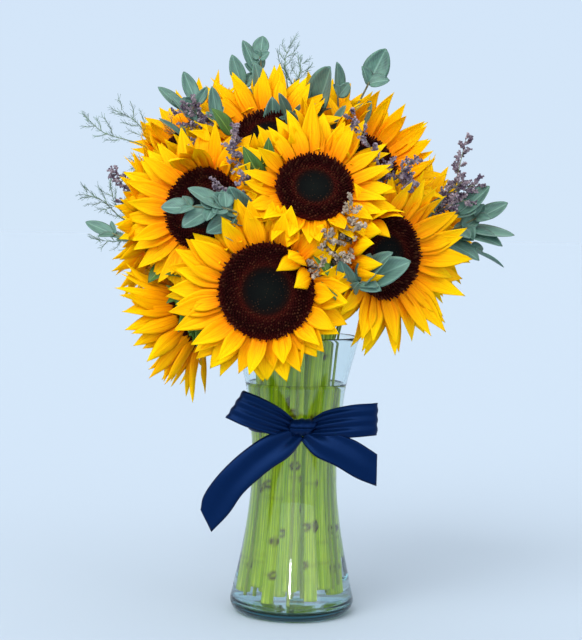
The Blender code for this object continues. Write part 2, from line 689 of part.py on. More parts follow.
def build():
    clear_scene()
    glass = material("glass", (0.86, 0.94, 0.95), 0.03, 0.35)
    clear_water = material("water", (0.90, 0.96, 0.95), 0.02, 0.35)
    satin = material("navy_satin", (0.006, 0.022, 0.085), 0.35)
    stem_green = material("stem_green", (0.30, 0.46, 0.04), 0.5)
    florets = material("dark_florets", (0.035, 0.008, 0.004), 0.9)
    petal_yellow = material("petal_yellow", (1.0, 0.56, 0.01), 0.6)
    eucalyptus = material("eucalyptus_green", (0.16, 0.26, 0.22), 0.6)
    lavender = material("lavender_grey", (0.28, 0.22, 0.27), 0.9)
    fern = material("feathery_green", (0.17, 0.25, 0.13), 0.8)
    finishes = {"euca": eucalyptus, "sea_": lavender, "feat": fern}

    lines = plan_stems()
    make_vase(glass)
    make_water(clear_water, lines)
    make_ribbon(satin)
    cutters = []
    for flower in FLOWERS:
        name = flower[0]
        stem_body(name + "_stem", flower, lines[name], finish=stem_green)
        disc_body(name + "_disc", flower, finish=florets)
        cutters.append(as_cutter(name, lambda f=flower: stem_body("cut", f, lines[f[0]], GAP)))
        cutters.append(as_cutter(name, lambda f=flower: disc_body("cut", f, GAP)))
    for row in SPRIGS:
        body = sprig_body(row, lines[row[0]], finishes[row[0][:4]])
        cut_by(body, cutters)
        for rings in sprig_solids(row, lines[row[0]], GAP):
            cutters.append(as_cutter(row[0], lambda r=rings: lofted("cut", r, crossed=TOP_FACE)))
    for flower in FLOWERS:
        name = flower[0]
        body = petal_body(name + "_petals", flower, finish=petal_yellow)
        cut_by(body, cutters, owner=name)
        cutters.append(as_cutter(name, lambda f=flower: petal_body(f[0] + "_petals", f, GAP)))
    for body in bpy.data.objects:
        join_flat_faces(body)


if __name__ == "__main__":
    build()
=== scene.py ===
"""Looks of a bouquet of sunflowers, eucalyptus, sea lavender and feathery sprigs in a glass vase.

The frame gives the stems' lines, the flower heads and the vase's size. Everything is in metres with
+Z up, and the front of the bouquet faces -Y. Tables are in millimetres, which MM turns into metres.
"""

import math
import random

import bpy
import numpy as np
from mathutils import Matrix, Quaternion, Vector
from mathutils.bvhtree import BVHTree


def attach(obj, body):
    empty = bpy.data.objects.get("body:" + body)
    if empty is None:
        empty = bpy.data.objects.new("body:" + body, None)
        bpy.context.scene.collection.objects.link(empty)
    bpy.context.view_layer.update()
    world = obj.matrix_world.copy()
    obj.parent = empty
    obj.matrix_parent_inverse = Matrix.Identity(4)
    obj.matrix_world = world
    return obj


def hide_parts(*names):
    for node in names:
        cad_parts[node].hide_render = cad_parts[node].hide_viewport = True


MM = 0.001
UP = np.array([0.0, 0.0, 1.0])

# ------------------------------------------------------------------ sizes
VASE_OUTLINE = (  # (height, outer radius), foot to mouth
    (0, 47), (4, 53), (10, 56), (18, 54.7), (60, 45.8), (100, 40),
    (128, 38.5), (155, 39), (191, 43.3), (210, 46.3), (250, 56.5),
)
VASE_WALL, VASE_FLOOR, WATER_LEVEL = 3.0, 8.0, 208.0
VASE_SIDES = 120
WATER_OVERLAP = 0.3  # how far the water reaches into the glass, so that no air shows between them
STEM_RADIUS, SPRIG_RADIUS = 5.5 * MM, 1.5 * MM
SPRIG_START = 0.240  # metres: the height from which the shares of a sprig's stem are counted
RIBBON_WIDTH, RIBBON_THICK = 28.6, 0.5
BAND_LOW, BAND_HIGH = 166.0, 178.0  # where the ribbon, gathered, goes round the vase

# Each flower: name, petal length, how far the petals cup forward in degrees, the first petal's turn,
# and the side where the petals are longer, with how much longer.
FLOWERS = (
    ("front", 37, 8, 0.10, 175, 0.20), ("middle", 38, 12, 0.35, 75, 0.24),
    ("left", 40, 10, 0.60, 165, 0.16), ("top", 44, 20, 0.20, 165, 0.14),
    ("right", 46, 8, 0.45, -25, 0.22), ("upper_right", 46, 18, 0.75, 30, 0.12),
    ("low_left", 45, 46, 0.15, 0, 0.0), ("upper_left", 40, 30, 0.55, 90, 0.06),
    ("far_left", 46, 38, 0.85, 0, 0.06), ("top_back", 38, 38, 0.30, 0, 0.0),
    ("far_right", 40, 28, 0.65, 0, 0.0), ("back_left", 38, 24, 0.05, 0, 0.0),
    ("back", 38, 20, 0.90, 0, 0.0),
)

# Where petals stand up and fold over their own disc: from and to which turn, and how steeply, in degrees.
FOLDED = {
    "front": ((6, 62, 98),), "right": ((105, 215, 74),), "left": ((84, 116, 60),),
    "top": ((-95, 40, 68),), "upper_right": ((90, 300, 72), (-60, 90, 40)),
    "upper_left": ((180, 400, 58),), "top_back": ((60, 180, 55),),
}
FOLDED_ROUNDS = (1.0, 0.8, 0.0)  # the share of that steepness in each round of petals

# Each round of petals: how many, where it starts as a share of the disc's radius, how deep in
# millimetres, its share of the petal length, its extra lift in degrees, and its width in disc radii.
PETAL_ROUNDS = ((15, 0.92, -3.4, 0.84, 14, 0.45), (19, 0.90, -5.2, 0.95, 4, 0.50),
                (19, 0.87, -7.0, 1.04, -5, 0.53))
PETAL_ROWS, PETAL_COLUMNS = 15, 9
LIFTS = (0, 6, -6, 12, -12, 18, -18, 26, 34, 44)  # degrees tried to keep clear of other flowers

# Each round of bracts: how many, where it starts, how deep, its length, its slope and its width.
BRACT_ROUNDS = ((11, 0.40, -19.0, 0.85, 16, 0.42), (13, 0.62, -16.4, 0.80, 2, 0.42),
                (14, 0.82, -12.6, 0.66, 4, 0.36))
DISC_PROFILE = (  # (share of the radius, height)
    (0.0, -6.0), (0.90, -6.2), (0.97, -3.6), (1.0, -1.4), (0.97, 0.2), (0.88, 1.2),
    (0.72, 1.6), (0.55, 1.2), (0.35, 0.4), (0.0, -0.2),
)
CUP_PROFILE = (  # the green cup behind a disc
    (0.0, -23.0), (0.15, -22.0), (0.32, -19.5), (0.60, -16.5), (0.86, -13.2), (0.93, -10.5),
    (0.88, -7.6), (0.0, -7.0),
)
GOLDEN_ANGLE = math.pi * (3 - math.sqrt(5))
FLORETS, FLORETS_RADIUS = 760, 0.036  # how many florets a disc of that radius holds

# Each sprig: name, then its leaves or tufts as (share of the stem above the vase, tip, width).
EUCALYPTUS = (
    ("top_left", ((0.5, (-26, -38, 461), 18), (0.62, (-63, -8, 500), 13), (0.75, (-43, -14, 493), 15),
                  (0.9, (-54, 2, 514), 13), (1.0, (-36, 0, 518), 14))),
    ("top", ((0.6, (38, -58, 453), 13), (0.65, (-11, -58, 448), 15), (0.75, (-20, -56, 463), 9),
             (0.95, (24, -58, 486), 27))),
    ("top_right", ((0.7, (61, -26, 460), 16), (0.75, (30, -14, 495), 14), (1.0, (74, 0, 509), 23))),
    ("upper_left", ((0.75, (-124, -42, 440), 12), (0.85, (-116, -40, 462), 12),
                    (0.9, (-78, -48, 468), 12), (0.95, (-126, -32, 468), 13),
                    (1.0, (-104, -30, 482), 12))),
    ("left", ((0.50, (-58, -122, 380), 20), (0.55, (-62, -124, 340), 15), (0.72, (-72, -124, 374), 19),
              (0.80, (-76, -126, 342), 16), (0.86, (-92, -122, 378), 17), (0.92, (-96, -124, 346), 17),
              (1.0, (-114, -118, 362), 15))),
    ("right", ((0.85, (34, -126, 322), 17), (0.93, (77, -130, 329), 20), (1.0, (92, -124, 322), 24))),
    ("far_right", ((0.7, (128, -24, 378), 16), (0.8, (168, -18, 388), 18), (0.85, (160, -22, 322), 16),
                   (0.92, (186, -6, 374), 15), (0.9, (184, -8, 316), 14), (0.95, (181, -16, 335), 20),
                   (1.0, (192, -12, 345), 22))),
    ("far_left", ((0.9, (-176, -34, 338), 9), (1.0, (-188, -30, 349), 11))),
    ("back", ((0.7, (-58, 112, 412), 18), (0.8, (-6, 112, 446), 18), (0.9, (-62, 102, 456), 18),
              (1.0, (-38, 112, 478), 16))),
)
SEA_LAVENDER = (
    ("upper_left", ((0.75, (-103, -48, 445), 14), (0.85, (-87, -54, 421), 14), (0.92, (-97, -46, 453), 13),
                    (1.0, (-81, -50, 435), 13))),
    ("left", ((0.8, (-66, -112, 382), 13), (0.88, (-48, -114, 386), 13), (0.95, (-60, -106, 414), 13),
              (1.0, (-59, -76, 427), 14))),
    ("middle", ((0.75, (16, -130, 315), 18), (0.82, (35, -130, 329), 19), (0.9, (22, -132, 338), 17),
                (0.96, (43, -128, 348), 16), (1.0, (43, -126, 366), 14))),
    ("upper_right", ((0.8, (73, -96, 401), 12), (0.88, (93, -90, 406), 12), (0.94, (42, -100, 443), 12),
                     (1.0, (92, -86, 388), 12))),
    ("far_right", ((0.75, (134, -30, 371), 14), (0.82, (147, -20, 375), 13), (0.88, (143, -24, 391), 12),
                   (0.94, (158, -14, 390), 11), (1.0, (146, -14, 429), 9))),
    ("far_left", ((0.8, (-154, -36, 366), 12), (0.9, (-134, -38, 388), 12), (1.0, (-162, -30, 394), 13))),
)
FEATHERY = (
    ("upper_left", ((0.7, (-128, 22, 442), 9), (0.8, (-152, 4, 398), 9), (0.9, (-172, 10, 452), 9),
                    (1.0, (-196, 2, 446), 10))),
    ("far_left", ((0.75, (-164, 26, 332), 9), (0.85, (-190, 24, 334), 9), (0.92, (-174, 26, 386), 9),
                  (1.0, (-199, 8, 374), 10))),
    ("top", ((0.85, (-17, 4, 492), 8), (0.95, (-2, -2, 500), 8), (1.0, (-10, 0, 512), 8))),
)
# Leaves that fill the gaps between the heads: whose stem, the leaf's base and tip, and its width.
GAP_LEAVES = (
    ("top", (-60, -54, 426), (-77, -64, 448), 15), ("middle", (-30, -92, 382), (-48, -106, 414), 16),
    ("middle", (-26, -92, 392), (-27, -104, 422), 13), ("middle", (-6, -98, 352), (-32, -116, 368), 15),
    ("front", (2, -100, 352), (18, -122, 324), 16), ("front", (-2, -104, 350), (2, -120, 322), 13),
    ("right", (20, -110, 311), (31, -130, 289), 16), ("right", (14, -112, 331), (24, -130, 309), 15),
    ("low_left", (-84, -66, 300), (-112, -92, 306), 14), ("low_left", (-84, -68, 292), (-110, -98, 282), 15),
    ("low_left", (-82, -68, 286), (-100, -98, 258), 14), ("low_left", (-76, -70, 276), (-84, -96, 244), 14),
    ("far_left", (-118, -30, 372), (-136, -36, 392), 13), ("left", (-112, -64, 314), (-128, -72, 298), 15),
)

# The rest of a stem that bends too tightly to be felt along.
BEYOND = {"eucalyptus_left": ((-56, -117, 361), (-88, -122, 363)),
          "sea_lavender_upper_left": ((-62, -14, 400), (-84, -26, 440))}
LEAF_FACE = np.array([0.1, -0.8, 0.6])  # the way the leaves in the gaps look
LOWEST_LEAF = 0.262  # metres: no leaf grows on a stem below this
NECK_DEPTH, STEM_END = 26 * MM, 20 * MM  # how far behind its disc a stem bends, and ends

KNOT = (6, -47, 173.5)
BOW = {  # rows of (middle of the ribbon, its half width across as a vector)
    "loop_left": (
        ((-2, -47, 173), (0, 0, 8)), ((-16, -53, 179), (3, 0, 12)), ((-36, -57, 187), (6, 1, 13)),
        ((-49, -55, 192), (7.5, 0, 12.3)), ((-53, -50, 193), (7.5, 0, 12.3)),
        ((-44, -46.5, 189), (6, -1, 12.6)), ((-24, -46, 181), (4, 0, 11)), ((-4, -46, 173), (0, 0, 7)),
    ),
    "loop_right": (
        ((14, -47, 173), (0, 0, 8)), ((28, -53, 177), (-1, 0, 12.5)), ((50, -57, 181), (-1, 1, 14.2)),
        ((67, -55, 182.5), (0, 0, 14.3)), ((71.5, -50, 182.5), (0, 0, 14.3)),
        ((62, -46.5, 181), (0, -1, 14)), ((36, -46, 177), (-1, 0, 11.5)), ((16, -46, 173), (0, 0, 7)),
    ),
    "tail_left": (
        ((2, -48, 168), (-6, 0, 4)), ((-14, -54.5, 158), (-10, 0, 9)), ((-34, -57, 144), (-12, 0, 7.8)),
        ((-54, -58.5, 125), (-11, 0, 8)), ((-67, -58, 106), (-11, 1, 8)), ((-76, -57, 91), (-5, 1, 9.5)),
    ),
    "tail_right": (
        ((10, -48, 168), (6, 0, 4)), ((26, -54.5, 160), (9, 0, 10)), ((44, -57, 153), (8, 0, 11.6)),
        ((60, -58, 144), (6, 0, 12.6)), ((72, -57, 138.5), (0, 0, 14)),
    ),
}

FEELERS, FEEL_STEP = 16, 0.7  # rays round a stem as its line is felt, and each step in its radii
LIT_IN_GLASS = 0.24  # stands in for the daylight that the glass and water gather on the stems
GLOW_TOP, GLOW_FULL = 0.25, 0.19  # metres: that light starts at the mouth and is full in the water
BARK_LOW, BARK_HIGH = 0.22, 0.28  # metres: a twig turns from green to its own colour between them

FLOOR_SIZE = 80.0  # metres to each side
FLOOR_COLOUR = (0.467, 0.548, 0.636, 1.0)
SKY = ((0.0, "D5E7F9"), (0.2, "D3E5F9"), (0.5, "E6F0FA"), (0.8, "FFFFFF"))
LIGHTS = (  # (name, kind, place, power, angle or size)
    ("key", "SUN", (-1.3, -2.2, 2.0), 2.0, 0.8),
    ("front", "SUN", (0.6, -3.0, 1.0), 1.3, 1.6),
    ("window", "AREA", (-0.12, -1.9, 0.47), 2.0, (0.12, 0.16)),
)
LIGHTS_AIM = (0, 0, 0.1)
CAMERA_PLACE, CAMERA_DOWN, CAMERA_ROLL = (0.0, -1.400, 0.345), 3.28, 1.2  # metres, degrees, degrees
LENS_LENGTH, SENSOR_WIDTH, LENS_SHIFT = 87.47, 36.0, -0.0098

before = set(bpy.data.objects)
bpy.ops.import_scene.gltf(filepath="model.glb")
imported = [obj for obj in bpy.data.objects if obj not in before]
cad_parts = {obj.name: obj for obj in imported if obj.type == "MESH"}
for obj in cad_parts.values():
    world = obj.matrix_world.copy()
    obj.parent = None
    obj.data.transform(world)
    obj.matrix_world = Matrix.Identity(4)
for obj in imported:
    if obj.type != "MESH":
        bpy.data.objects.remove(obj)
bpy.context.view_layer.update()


# ------------------------------------------------------------------ lines and surfaces
def unit(vectors):
    """The same directions with a length of one."""
    vectors = np.asarray(vectors, float)
    return vectors / np.maximum(np.linalg.norm(vectors, axis=-1, keepdims=True), 1e-12)


def smooth_line(points, count):
    """count evenly spaced points on the smooth line through the given ones."""
    points = np.asarray(points, float)
    ends = np.vstack([points[0] * 2 - points[1], points, points[-1] * 2 - points[-2]])
    t = np.linspace(0, 1, 12, endpoint=False)[:, None]
    line = []
    for a, b, c, d in zip(ends, ends[1:], ends[2:], ends[3:]):
        line.append(b + (c - a) * t / 2 + (2 * a - 5 * b + 4 * c - d) * t ** 2 / 2
                    + (3 * b - a - 3 * c + d) * t ** 3 / 2)
    line = np.vstack(line + [points[-1:]])
    return even_line(line, count)


def lengths(line):
    """How far along a line each of its points is."""
    return np.concatenate([[0], np.cumsum(np.linalg.norm(np.diff(line, axis=0), axis=1))])


def even_line(line, count):
    """count evenly spaced points on a line, whose first three columns are its place."""
    along = lengths(line[:, :3])
    wanted = np.linspace(0, along[-1], count)
    return np.stack([np.interp(wanted, along, line[:, k]) for k in range(line.shape[1])], axis=1)


class Stock:
    """Closed bodies collected into one mesh, with a grain direction and a tone at each point."""

    def __init__(self):
        self.points, self.faces, self.grain, self.tone, self.finish = [], [], [], [], []
        self.count = 0

    def add(self, points, faces, grain, tone, finish=0):
        points = np.asarray(points, float).reshape(-1, 3)
        self.points.append(points)
        self.faces += [tuple(int(i) + self.count for i in face) for face in faces]
        self.grain.append(np.asarray(grain, float).reshape(-1, 3))
        self.tone.append(np.broadcast_to(tone, len(points)).astype(float))
        self.finish += [finish] * len(faces)
        self.count += len(points)

    def shell(self, grid, thick, tone, finish=0, grain=None):
        """A thin closed leaf on a grid of points, thickest in its middle and sharp at its edges."""
        rows, columns = grid.shape[:2]
        normal = unit(np.cross(np.gradient(grid, axis=0), np.gradient(grid, axis=1)))
        inner = np.zeros((rows, columns), bool)
        inner[1:-1, 1:-1] = True
        top = grid + normal * (inner * thick / 2)[..., None]
        under = (grid - normal * thick / 2)[inner]
        upper = np.arange(rows * columns).reshape(rows, columns)
        lower = upper.copy()
        lower[inner] = rows * columns + np.arange(inner.sum())
        faces = []
        for i in range(rows - 1):
            for j in range(columns - 1):
                faces.append((upper[i, j], upper[i + 1, j], upper[i + 1, j + 1], upper[i, j + 1]))
                faces.append((lower[i, j], lower[i, j + 1], lower[i + 1, j + 1], lower[i + 1, j]))
        if grain is None:
            v, u = np.meshgrid(np.linspace(0, 1, rows), np.linspace(-1, 1, columns), indexing="ij")
            grain = np.stack([u, v, np.zeros_like(u)], axis=-1)
        grain = np.vstack([grain.reshape(-1, 3), grain[inner]])
        self.add(np.vstack([top.reshape(-1, 3), under]), faces, grain, tone, finish)

    def tube(self, line, radius, sides, shape=None):
        """A closed round tube along a line; shape may change each point's radius and tone."""
        rings = tube_rings(line, sides)
        along = lengths(line)
        turns = 2 * np.pi * np.arange(sides) / sides
        radii = np.full((len(line), sides), float(radius))
        tones = np.zeros((len(line), sides))
        if shape:
            radii, tones = shape(along[:, None], turns[None, :], radii, tones)
        points = line[:, None, :] + rings * radii[..., None]
        grain = np.stack(np.broadcast_arrays(np.cos(turns)[None, :], np.sin(turns)[None, :],
                                             along[:, None]), axis=-1)
        index = np.arange(len(line) * sides).reshape(len(line), sides)
        faces = [tuple(index[0][::-1]), tuple(index[-1])]
        for i in range(len(line) - 1):
            for k in range(sides):
                j = (k + 1) % sides
                faces.append((index[i, k], index[i, j], index[i + 1, j], index[i + 1, k]))
        self.add(points, faces, grain, tones.reshape(-1))

    def lathe(self, profile, sides, finish=0, place=None):
        """A body turned about Z from a closed profile of (radius, height) that may touch the axis."""
        turns = 2 * np.pi * np.arange(sides) / sides
        rows, points, grain = [], [], []
        for radius, height in profile:
            if radius < 1e-7:
                rows.append([len(points)])
                points.append((0, 0, height))
                grain.append((0, 0, height))
                continue
            rows.append([len(points) + k for k in range(sides)])
            points += [(radius * math.cos(a), radius * math.sin(a), height) for a in turns]
            grain += [(math.cos(a), math.sin(a), height) for a in turns]
        faces = []
        for low, high in zip(rows, rows[1:]):
            for k in range(sides):
                ring = [low[k % len(low)], low[(k + 1) % sides % len(low)],
                        high[(k + 1) % sides % len(high)], high[k % len(high)]]
                face = tuple(dict.fromkeys(ring))
                if len(face) > 2:
                    faces.append(face)
        points = np.array(points)
        if place is not None:
            points = place(points)
        self.add(points, faces, grain, 0.0, finish)

    def made(self, name, finishes):
        """The collected bodies as one piece."""
        mesh = bpy.data.meshes.new(name)
        mesh.from_pydata(np.vstack(self.points).tolist(), [], self.faces)
        mesh.attributes.new("grain", "FLOAT_VECTOR", "POINT").data.foreach_set(
            "vector", np.vstack(self.grain).ravel())
        mesh.attributes.new("tone", "FLOAT", "POINT").data.foreach_set(
            "value", np.concatenate(self.tone))
        for finish in finishes:
            mesh.materials.append(finish)
        mesh.polygons.foreach_set("material_index", self.finish)
        mesh.shade_smooth()
        mesh.update()
        return stand(name, mesh)


def stand(name, data):
    """Puts a mesh, lamp or camera into the scene."""
    piece = bpy.data.objects.new(name, data)
    bpy.context.scene.collection.objects.link(piece)
    return piece


def mesh_points(mesh):
    points = np.zeros(len(mesh.vertices) * 3)
    mesh.vertices.foreach_get("co", points)
    return points.reshape(-1, 3)


def tube_rings(line, sides):
    """Unit directions round a line, which turn as little as they can along it."""
    along = unit(np.gradient(line, axis=0))
    across = np.array([1.0, 0.0, 0.0])
    turns = 2 * np.pi * np.arange(sides) / sides
    rings = []
    for way in along:
        across = unit(across - way * across.dot(way))
        other = np.cross(way, across)
        rings.append(np.outer(np.cos(turns), across) + np.outer(np.sin(turns), other))
    return np.array(rings)


def settle(piece, slot, *nodes):
    """Lets a finished piece stand for its CAD nodes on the root body."""
    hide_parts(*nodes)
    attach(piece, "root")
    return piece


# ------------------------------------------------------------------ node trees
def put(tree, kind, ins=None, **settings):
    """Adds a node. ins gives its inputs by name or number, as values, nodes or sockets."""
    made = tree.nodes.new(kind)
    for key, value in settings.items():
        setattr(made, key, value)
    for key, value in (ins or {}).items():
        if isinstance(value, bpy.types.Node):
            value = value.outputs[0]
        if isinstance(value, bpy.types.NodeSocket):
            tree.links.new(value, made.inputs[key])
        else:
            made.inputs[key].default_value = value
    return made


def calc(tree, operation, *values):
    """Adds a sum, whose values may be numbers, nodes or sockets."""
    return put(tree, "ShaderNodeMath", dict(enumerate(values)), operation=operation)


def times(tree, first, second):
    return calc(tree, "MULTIPLY", first, second)


def colour(code):
    """A colour code as linear light."""
    parts = [int(code[i:i + 2], 16) / 255 for i in (0, 2, 4)]
    light = [p / 12.92 if p <= 0.04045 else ((p + 0.055) / 1.055) ** 2.4 for p in parts]
    return (*light, 1.0)


def ramp(tree, factor, stops):
    """Adds a colour ramp with stops of (place, colour code)."""
    made = put(tree, "ShaderNodeValToRGB", {0: factor})
    steps = made.color_ramp.elements
    while len(steps) < len(stops):
        steps.new(0.5)
    for step, (at, code) in zip(steps, stops):
        step.position = at
        step.color = colour(code)
    return made


def blend(tree, factor, first, second, way="MIX"):
    """Adds a mix of two colours, and gives its colour."""
    return put(tree, "ShaderNodeMix", {0: factor, 6: first, 7: second}, data_type="RGBA",
               blend_type=way).outputs[2]


def noise(tree, place, scale, detail, roughness=0.5):
    return put(tree, "ShaderNodeTexNoise", {"Vector": place, "Scale": scale, "Detail": detail,
                                            "Roughness": roughness})


def object_place(tree):
    """The place of each point in the room, and its height alone."""
    place = put(tree, "ShaderNodeTexCoord").outputs["Object"]
    return place, put(tree, "ShaderNodeSeparateXYZ", {0: place}).outputs[2]


def new_finish(name, **values):
    """A new finish, its node tree and its shader, whose inputs are set by their names."""
    made = bpy.data.materials.new(name)
    made.use_nodes = True
    shader = made.node_tree.nodes["Principled BSDF"]
    for key, value in values.items():
        shader.inputs[key.replace("_", " ").title().replace("Ior", "IOR")].default_value = value
    return made, made.node_tree, shader


def read_grain(tree, stretch):
    """The grain at each point, stretched, and its three parts."""
    grain = put(tree, "ShaderNodeAttribute", attribute_name="grain")
    placed = put(tree, "ShaderNodeVectorMath", {0: grain.outputs["Vector"], 1: stretch},
                 operation="MULTIPLY")
    parts = put(tree, "ShaderNodeSeparateXYZ", {0: grain.outputs["Vector"]})
    return placed.outputs[0], parts


def read(tree, name):
    """A number that the mesh holds at each point."""
    return put(tree, "ShaderNodeAttribute", attribute_name=name).outputs["Fac"]


def relief(tree, shader, height, depth, strength=1.0):
    bump = put(tree, "ShaderNodeBump", {"Height": height, "Distance": depth, "Strength": strength})
    tree.links.new(bump.outputs[0], shader.inputs["Normal"])


def petal_finish():
    """Orange at a petal's foot to bright yellow at its tip, with fine veins along it."""
    made, tree, shader = new_finish("petal_yellow", roughness=0.62, subsurface_weight=0.25,
                                    subsurface_radius=(1.0, 0.5, 0.04), subsurface_scale=0.004,
                                    specular_ior_level=0.05)
    placed, parts = read_grain(tree, (9.0, 1.1, 0.0))
    tone = read(tree, "tone")
    shift = put(tree, "ShaderNodeCombineXYZ", {0: times(tree, tone, 37.0), 1: 0.0, 2: tone})
    moved = put(tree, "ShaderNodeVectorMath", {0: placed, 1: shift}, operation="ADD")
    veins = noise(tree, moved, 1.0, 3.0, 0.6)
    length = calc(tree, "ADD", parts.outputs[1], times(tree, calc(tree, "SUBTRACT", veins, 0.5), 0.35))
    base = ramp(tree, length, ((0.0, "CC5600"), (0.14, "F48400"), (0.36, "FF9E00"),
                               (0.62, "FFBA00"), (1.0, "FFCC00")))
    deep = blend(tree, times(tree, tone, 0.5), base, colour("FFA200"))
    vein = ramp(tree, veins, ((0.32, "D89050"), (0.52, "FFFFFF")))
    veined = blend(tree, 0.38, deep, vein, "MULTIPLY")
    tree.links.new(veined, shader.inputs["Base Color"])
    relief(tree, shader, veins.outputs[0], 0.0012, 0.55)
    return made


def floret_finish():
    """Nearly black in the disc's middle and dark red outside, with a paler floret here and there."""
    made, tree, shader = new_finish("dark_florets", roughness=0.9, specular_ior_level=0.06)
    rings = ((0.0, "0B0F0D"), (0.36, "070808"), (0.47, "160806"), (0.56, "3A0E08"), (0.66, "2A0505"),
             (0.85, "220404"), (1.0, "3A0A06"))
    base = ramp(tree, read(tree, "ring"), rings)
    speck = ramp(tree, read(tree, "tone"), ((0.60, "000000"), (1.0, "FFFFFF")))
    lighter = blend(tree, times(tree, speck, 0.16), base, colour("8A5A3A"))
    tree.links.new(lighter, shader.inputs["Base Color"])
    return made


def stem_finish():
    """Fresh green with streaks and ribs along the stem, brown leaf scars where the tone is high, and a
    painted glow in the vase.
    """
    made, tree, shader = new_finish("stem_green", roughness=0.42, subsurface_weight=0.10,
                                    subsurface_radius=(0.4, 0.8, 0.1), subsurface_scale=0.003)
    streaks = noise(tree, read_grain(tree, (2.6, 2.6, 9.0))[0], 1.6, 5.0, 0.65)
    ribs = noise(tree, read_grain(tree, (9.0, 9.0, 24.0))[0], 1.0, 2.0)
    base = ramp(tree, streaks, ((0.30, "5A7800"), (0.42, "96BC02"), (0.56, "C2DE0A"), (0.72, "ECF270")))
    fleck = blend(tree, 0.18, base, ramp(tree, ribs, ((0.35, "9AA060"), (0.6, "FFFFFF"))), "MULTIPLY")
    scarred = blend(tree, read(tree, "tone"), fleck, colour("4A2A08"))
    tree.links.new(scarred, shader.inputs["Base Color"])
    # painted glow: below the mouth the stem glows in its own colour, standing in for the daylight that the
    # glass and water gather on it
    painted_glow_in_vase = put(tree, "ShaderNodeMapRange", {"Value": object_place(tree)[1], "From Min": GLOW_TOP,
                                               "From Max": GLOW_FULL})
    tree.links.new(scarred, shader.inputs["Emission Color"])
    tree.links.new(times(tree, painted_glow_in_vase, LIT_IN_GLASS).outputs[0], shader.inputs["Emission Strength"])
    relief(tree, shader, ribs.outputs[0], 0.0006, 0.5)
    return made


def leaf_finish(name, dark, mid, rib, mottling=3.0, roughness=0.5, bloom=0.0, veined=0.6):
    """A leaf's green with its midrib and side veins; grain x runs across it and y along it."""
    made, tree, shader = new_finish(name, roughness=roughness, subsurface_weight=0.08,
                                    subsurface_radius=(0.3, 0.6, 0.15), subsurface_scale=0.002,
                                    sheen_weight=bloom, sheen_roughness=0.6)
    placed, parts = read_grain(tree, (mottling, mottling, 1.0))
    base = ramp(tree, noise(tree, placed, 1.0, 4.0), ((0.35, dark), (0.65, mid)))
    side = calc(tree, "ABSOLUTE", parts.outputs[0])
    slant = calc(tree, "SUBTRACT", times(tree, parts.outputs[1], 11.0), times(tree, side, 4.0))
    wave = calc(tree, "ABSOLUTE", calc(tree, "SINE", times(tree, slant, math.pi)))
    veins = calc(tree, "POWER", wave, 0.35)
    midrib = ramp(tree, side, ((0.02, "000000"), (0.10, "FFFFFF")))
    ribbed = times(tree, midrib, calc(tree, "ADD", times(tree, veins, 0.35), 0.65))
    mixed = blend(tree, ribbed, colour(rib), base)
    toned = blend(tree, times(tree, read(tree, "tone"), 0.45), mixed, colour(rib))
    tree.links.new(toned, shader.inputs["Base Color"])
    relief(tree, shader, ribbed.outputs[0], 0.0005, veined)
    return made


def twig_finish(name, first, second):
    """A twig's bark, which is green where the twig stands in the vase."""
    made, tree, shader = new_finish(name, roughness=0.75)
    place, height = object_place(tree)
    own = ramp(tree, noise(tree, place, 160.0, 3.0), ((0.38, first), (0.62, second)))
    above = put(tree, "ShaderNodeMapRange", {"Value": height, "From Min": BARK_LOW,
                                             "From Max": BARK_HIGH})
    bark = blend(tree, above.outputs[0], colour("B4C83C"), own)
    tree.links.new(bark, shader.inputs["Base Color"])
    return made


def satin_finish():
    """Navy satin, whose warp runs along the ribbon: grain x is across it and y along it in metres."""
    made, tree, shader = new_finish("navy_satin", roughness=0.36, specular_tint=colour("4470C4"),
                                    anisotropic=0.5, sheen_weight=0.04, sheen_roughness=0.4,
                                    sheen_tint=colour("4A78D0"), specular_ior_level=0.6)
    placed, parts = read_grain(tree, (60.0, 900.0, 0.0))
    weave = noise(tree, placed, 1.0, 2.0)
    edge = ramp(tree, calc(tree, "ABSOLUTE", parts.outputs[0]), ((0.90, "FFFFFF"), (0.95, "C0C8DC")))
    base = ramp(tree, weave, ((0.35, "010D28"), (0.65, "02183C")))
    tree.links.new(blend(tree, 0.6, base, edge, "MULTIPLY"), shader.inputs["Base Color"])
    relief(tree, shader, weave.outputs[0], 0.0002, 0.35)
    return made


def clear_finish(name, ior, shine, absorbed, density):
    """A clear body that takes light up as it passes through."""
    made, tree, _ = new_finish(name, base_color=colour("FFFFFF"), roughness=0.0, ior=ior,
                                    transmission_weight=1.0, specular_ior_level=shine)
    depth = put(tree, "ShaderNodeVolumeAbsorption", {"Color": colour(absorbed), "Density": density})
    tree.links.new(depth.outputs[0], tree.nodes["Material Output"].inputs["Volume"])
    return made


GLASS = clear_finish("vase_glass", 1.45, 0.22, "40BCC8", 42.0)
WATER = clear_finish("clear_water", 1.333, 0.05, "F4FAE0", 0.3)
PETAL = petal_finish()
FLORET = floret_finish()
STEM = stem_finish()
BRACT = leaf_finish("bract_green", "2E5A14", "5A8A26", "86A84A", roughness=0.55)
FOLIAGE = leaf_finish("foliage_green", "1E4412", "386A1C", "7A9A44", roughness=0.5)
EUCALYPTUS_LEAF = leaf_finish("eucalyptus_leaf", "30524A", "547F6E", "6E9484", 2.0, 0.55, 0.10, 0.2)
EUCALYPTUS_TWIG = twig_finish("eucalyptus_twig", "5A5238", "7C8460")
LAVENDER_TWIG = twig_finish("sea_lavender_twig", "5E6040", "7E8460")
LAVENDER_FLORET = twig_finish("sea_lavender_floret", "46364A", "94868E")
PALE_FLORET = twig_finish("pale_lavender_floret", "6A5E50", "B4A490")
FEATHER_TWIG = twig_finish("feathery_twig", "4C6244", "6E8460")
FEATHER_NEEDLE = twig_finish("feathery_needle", "36584A", "6C8C76")
SATIN = satin_finish()


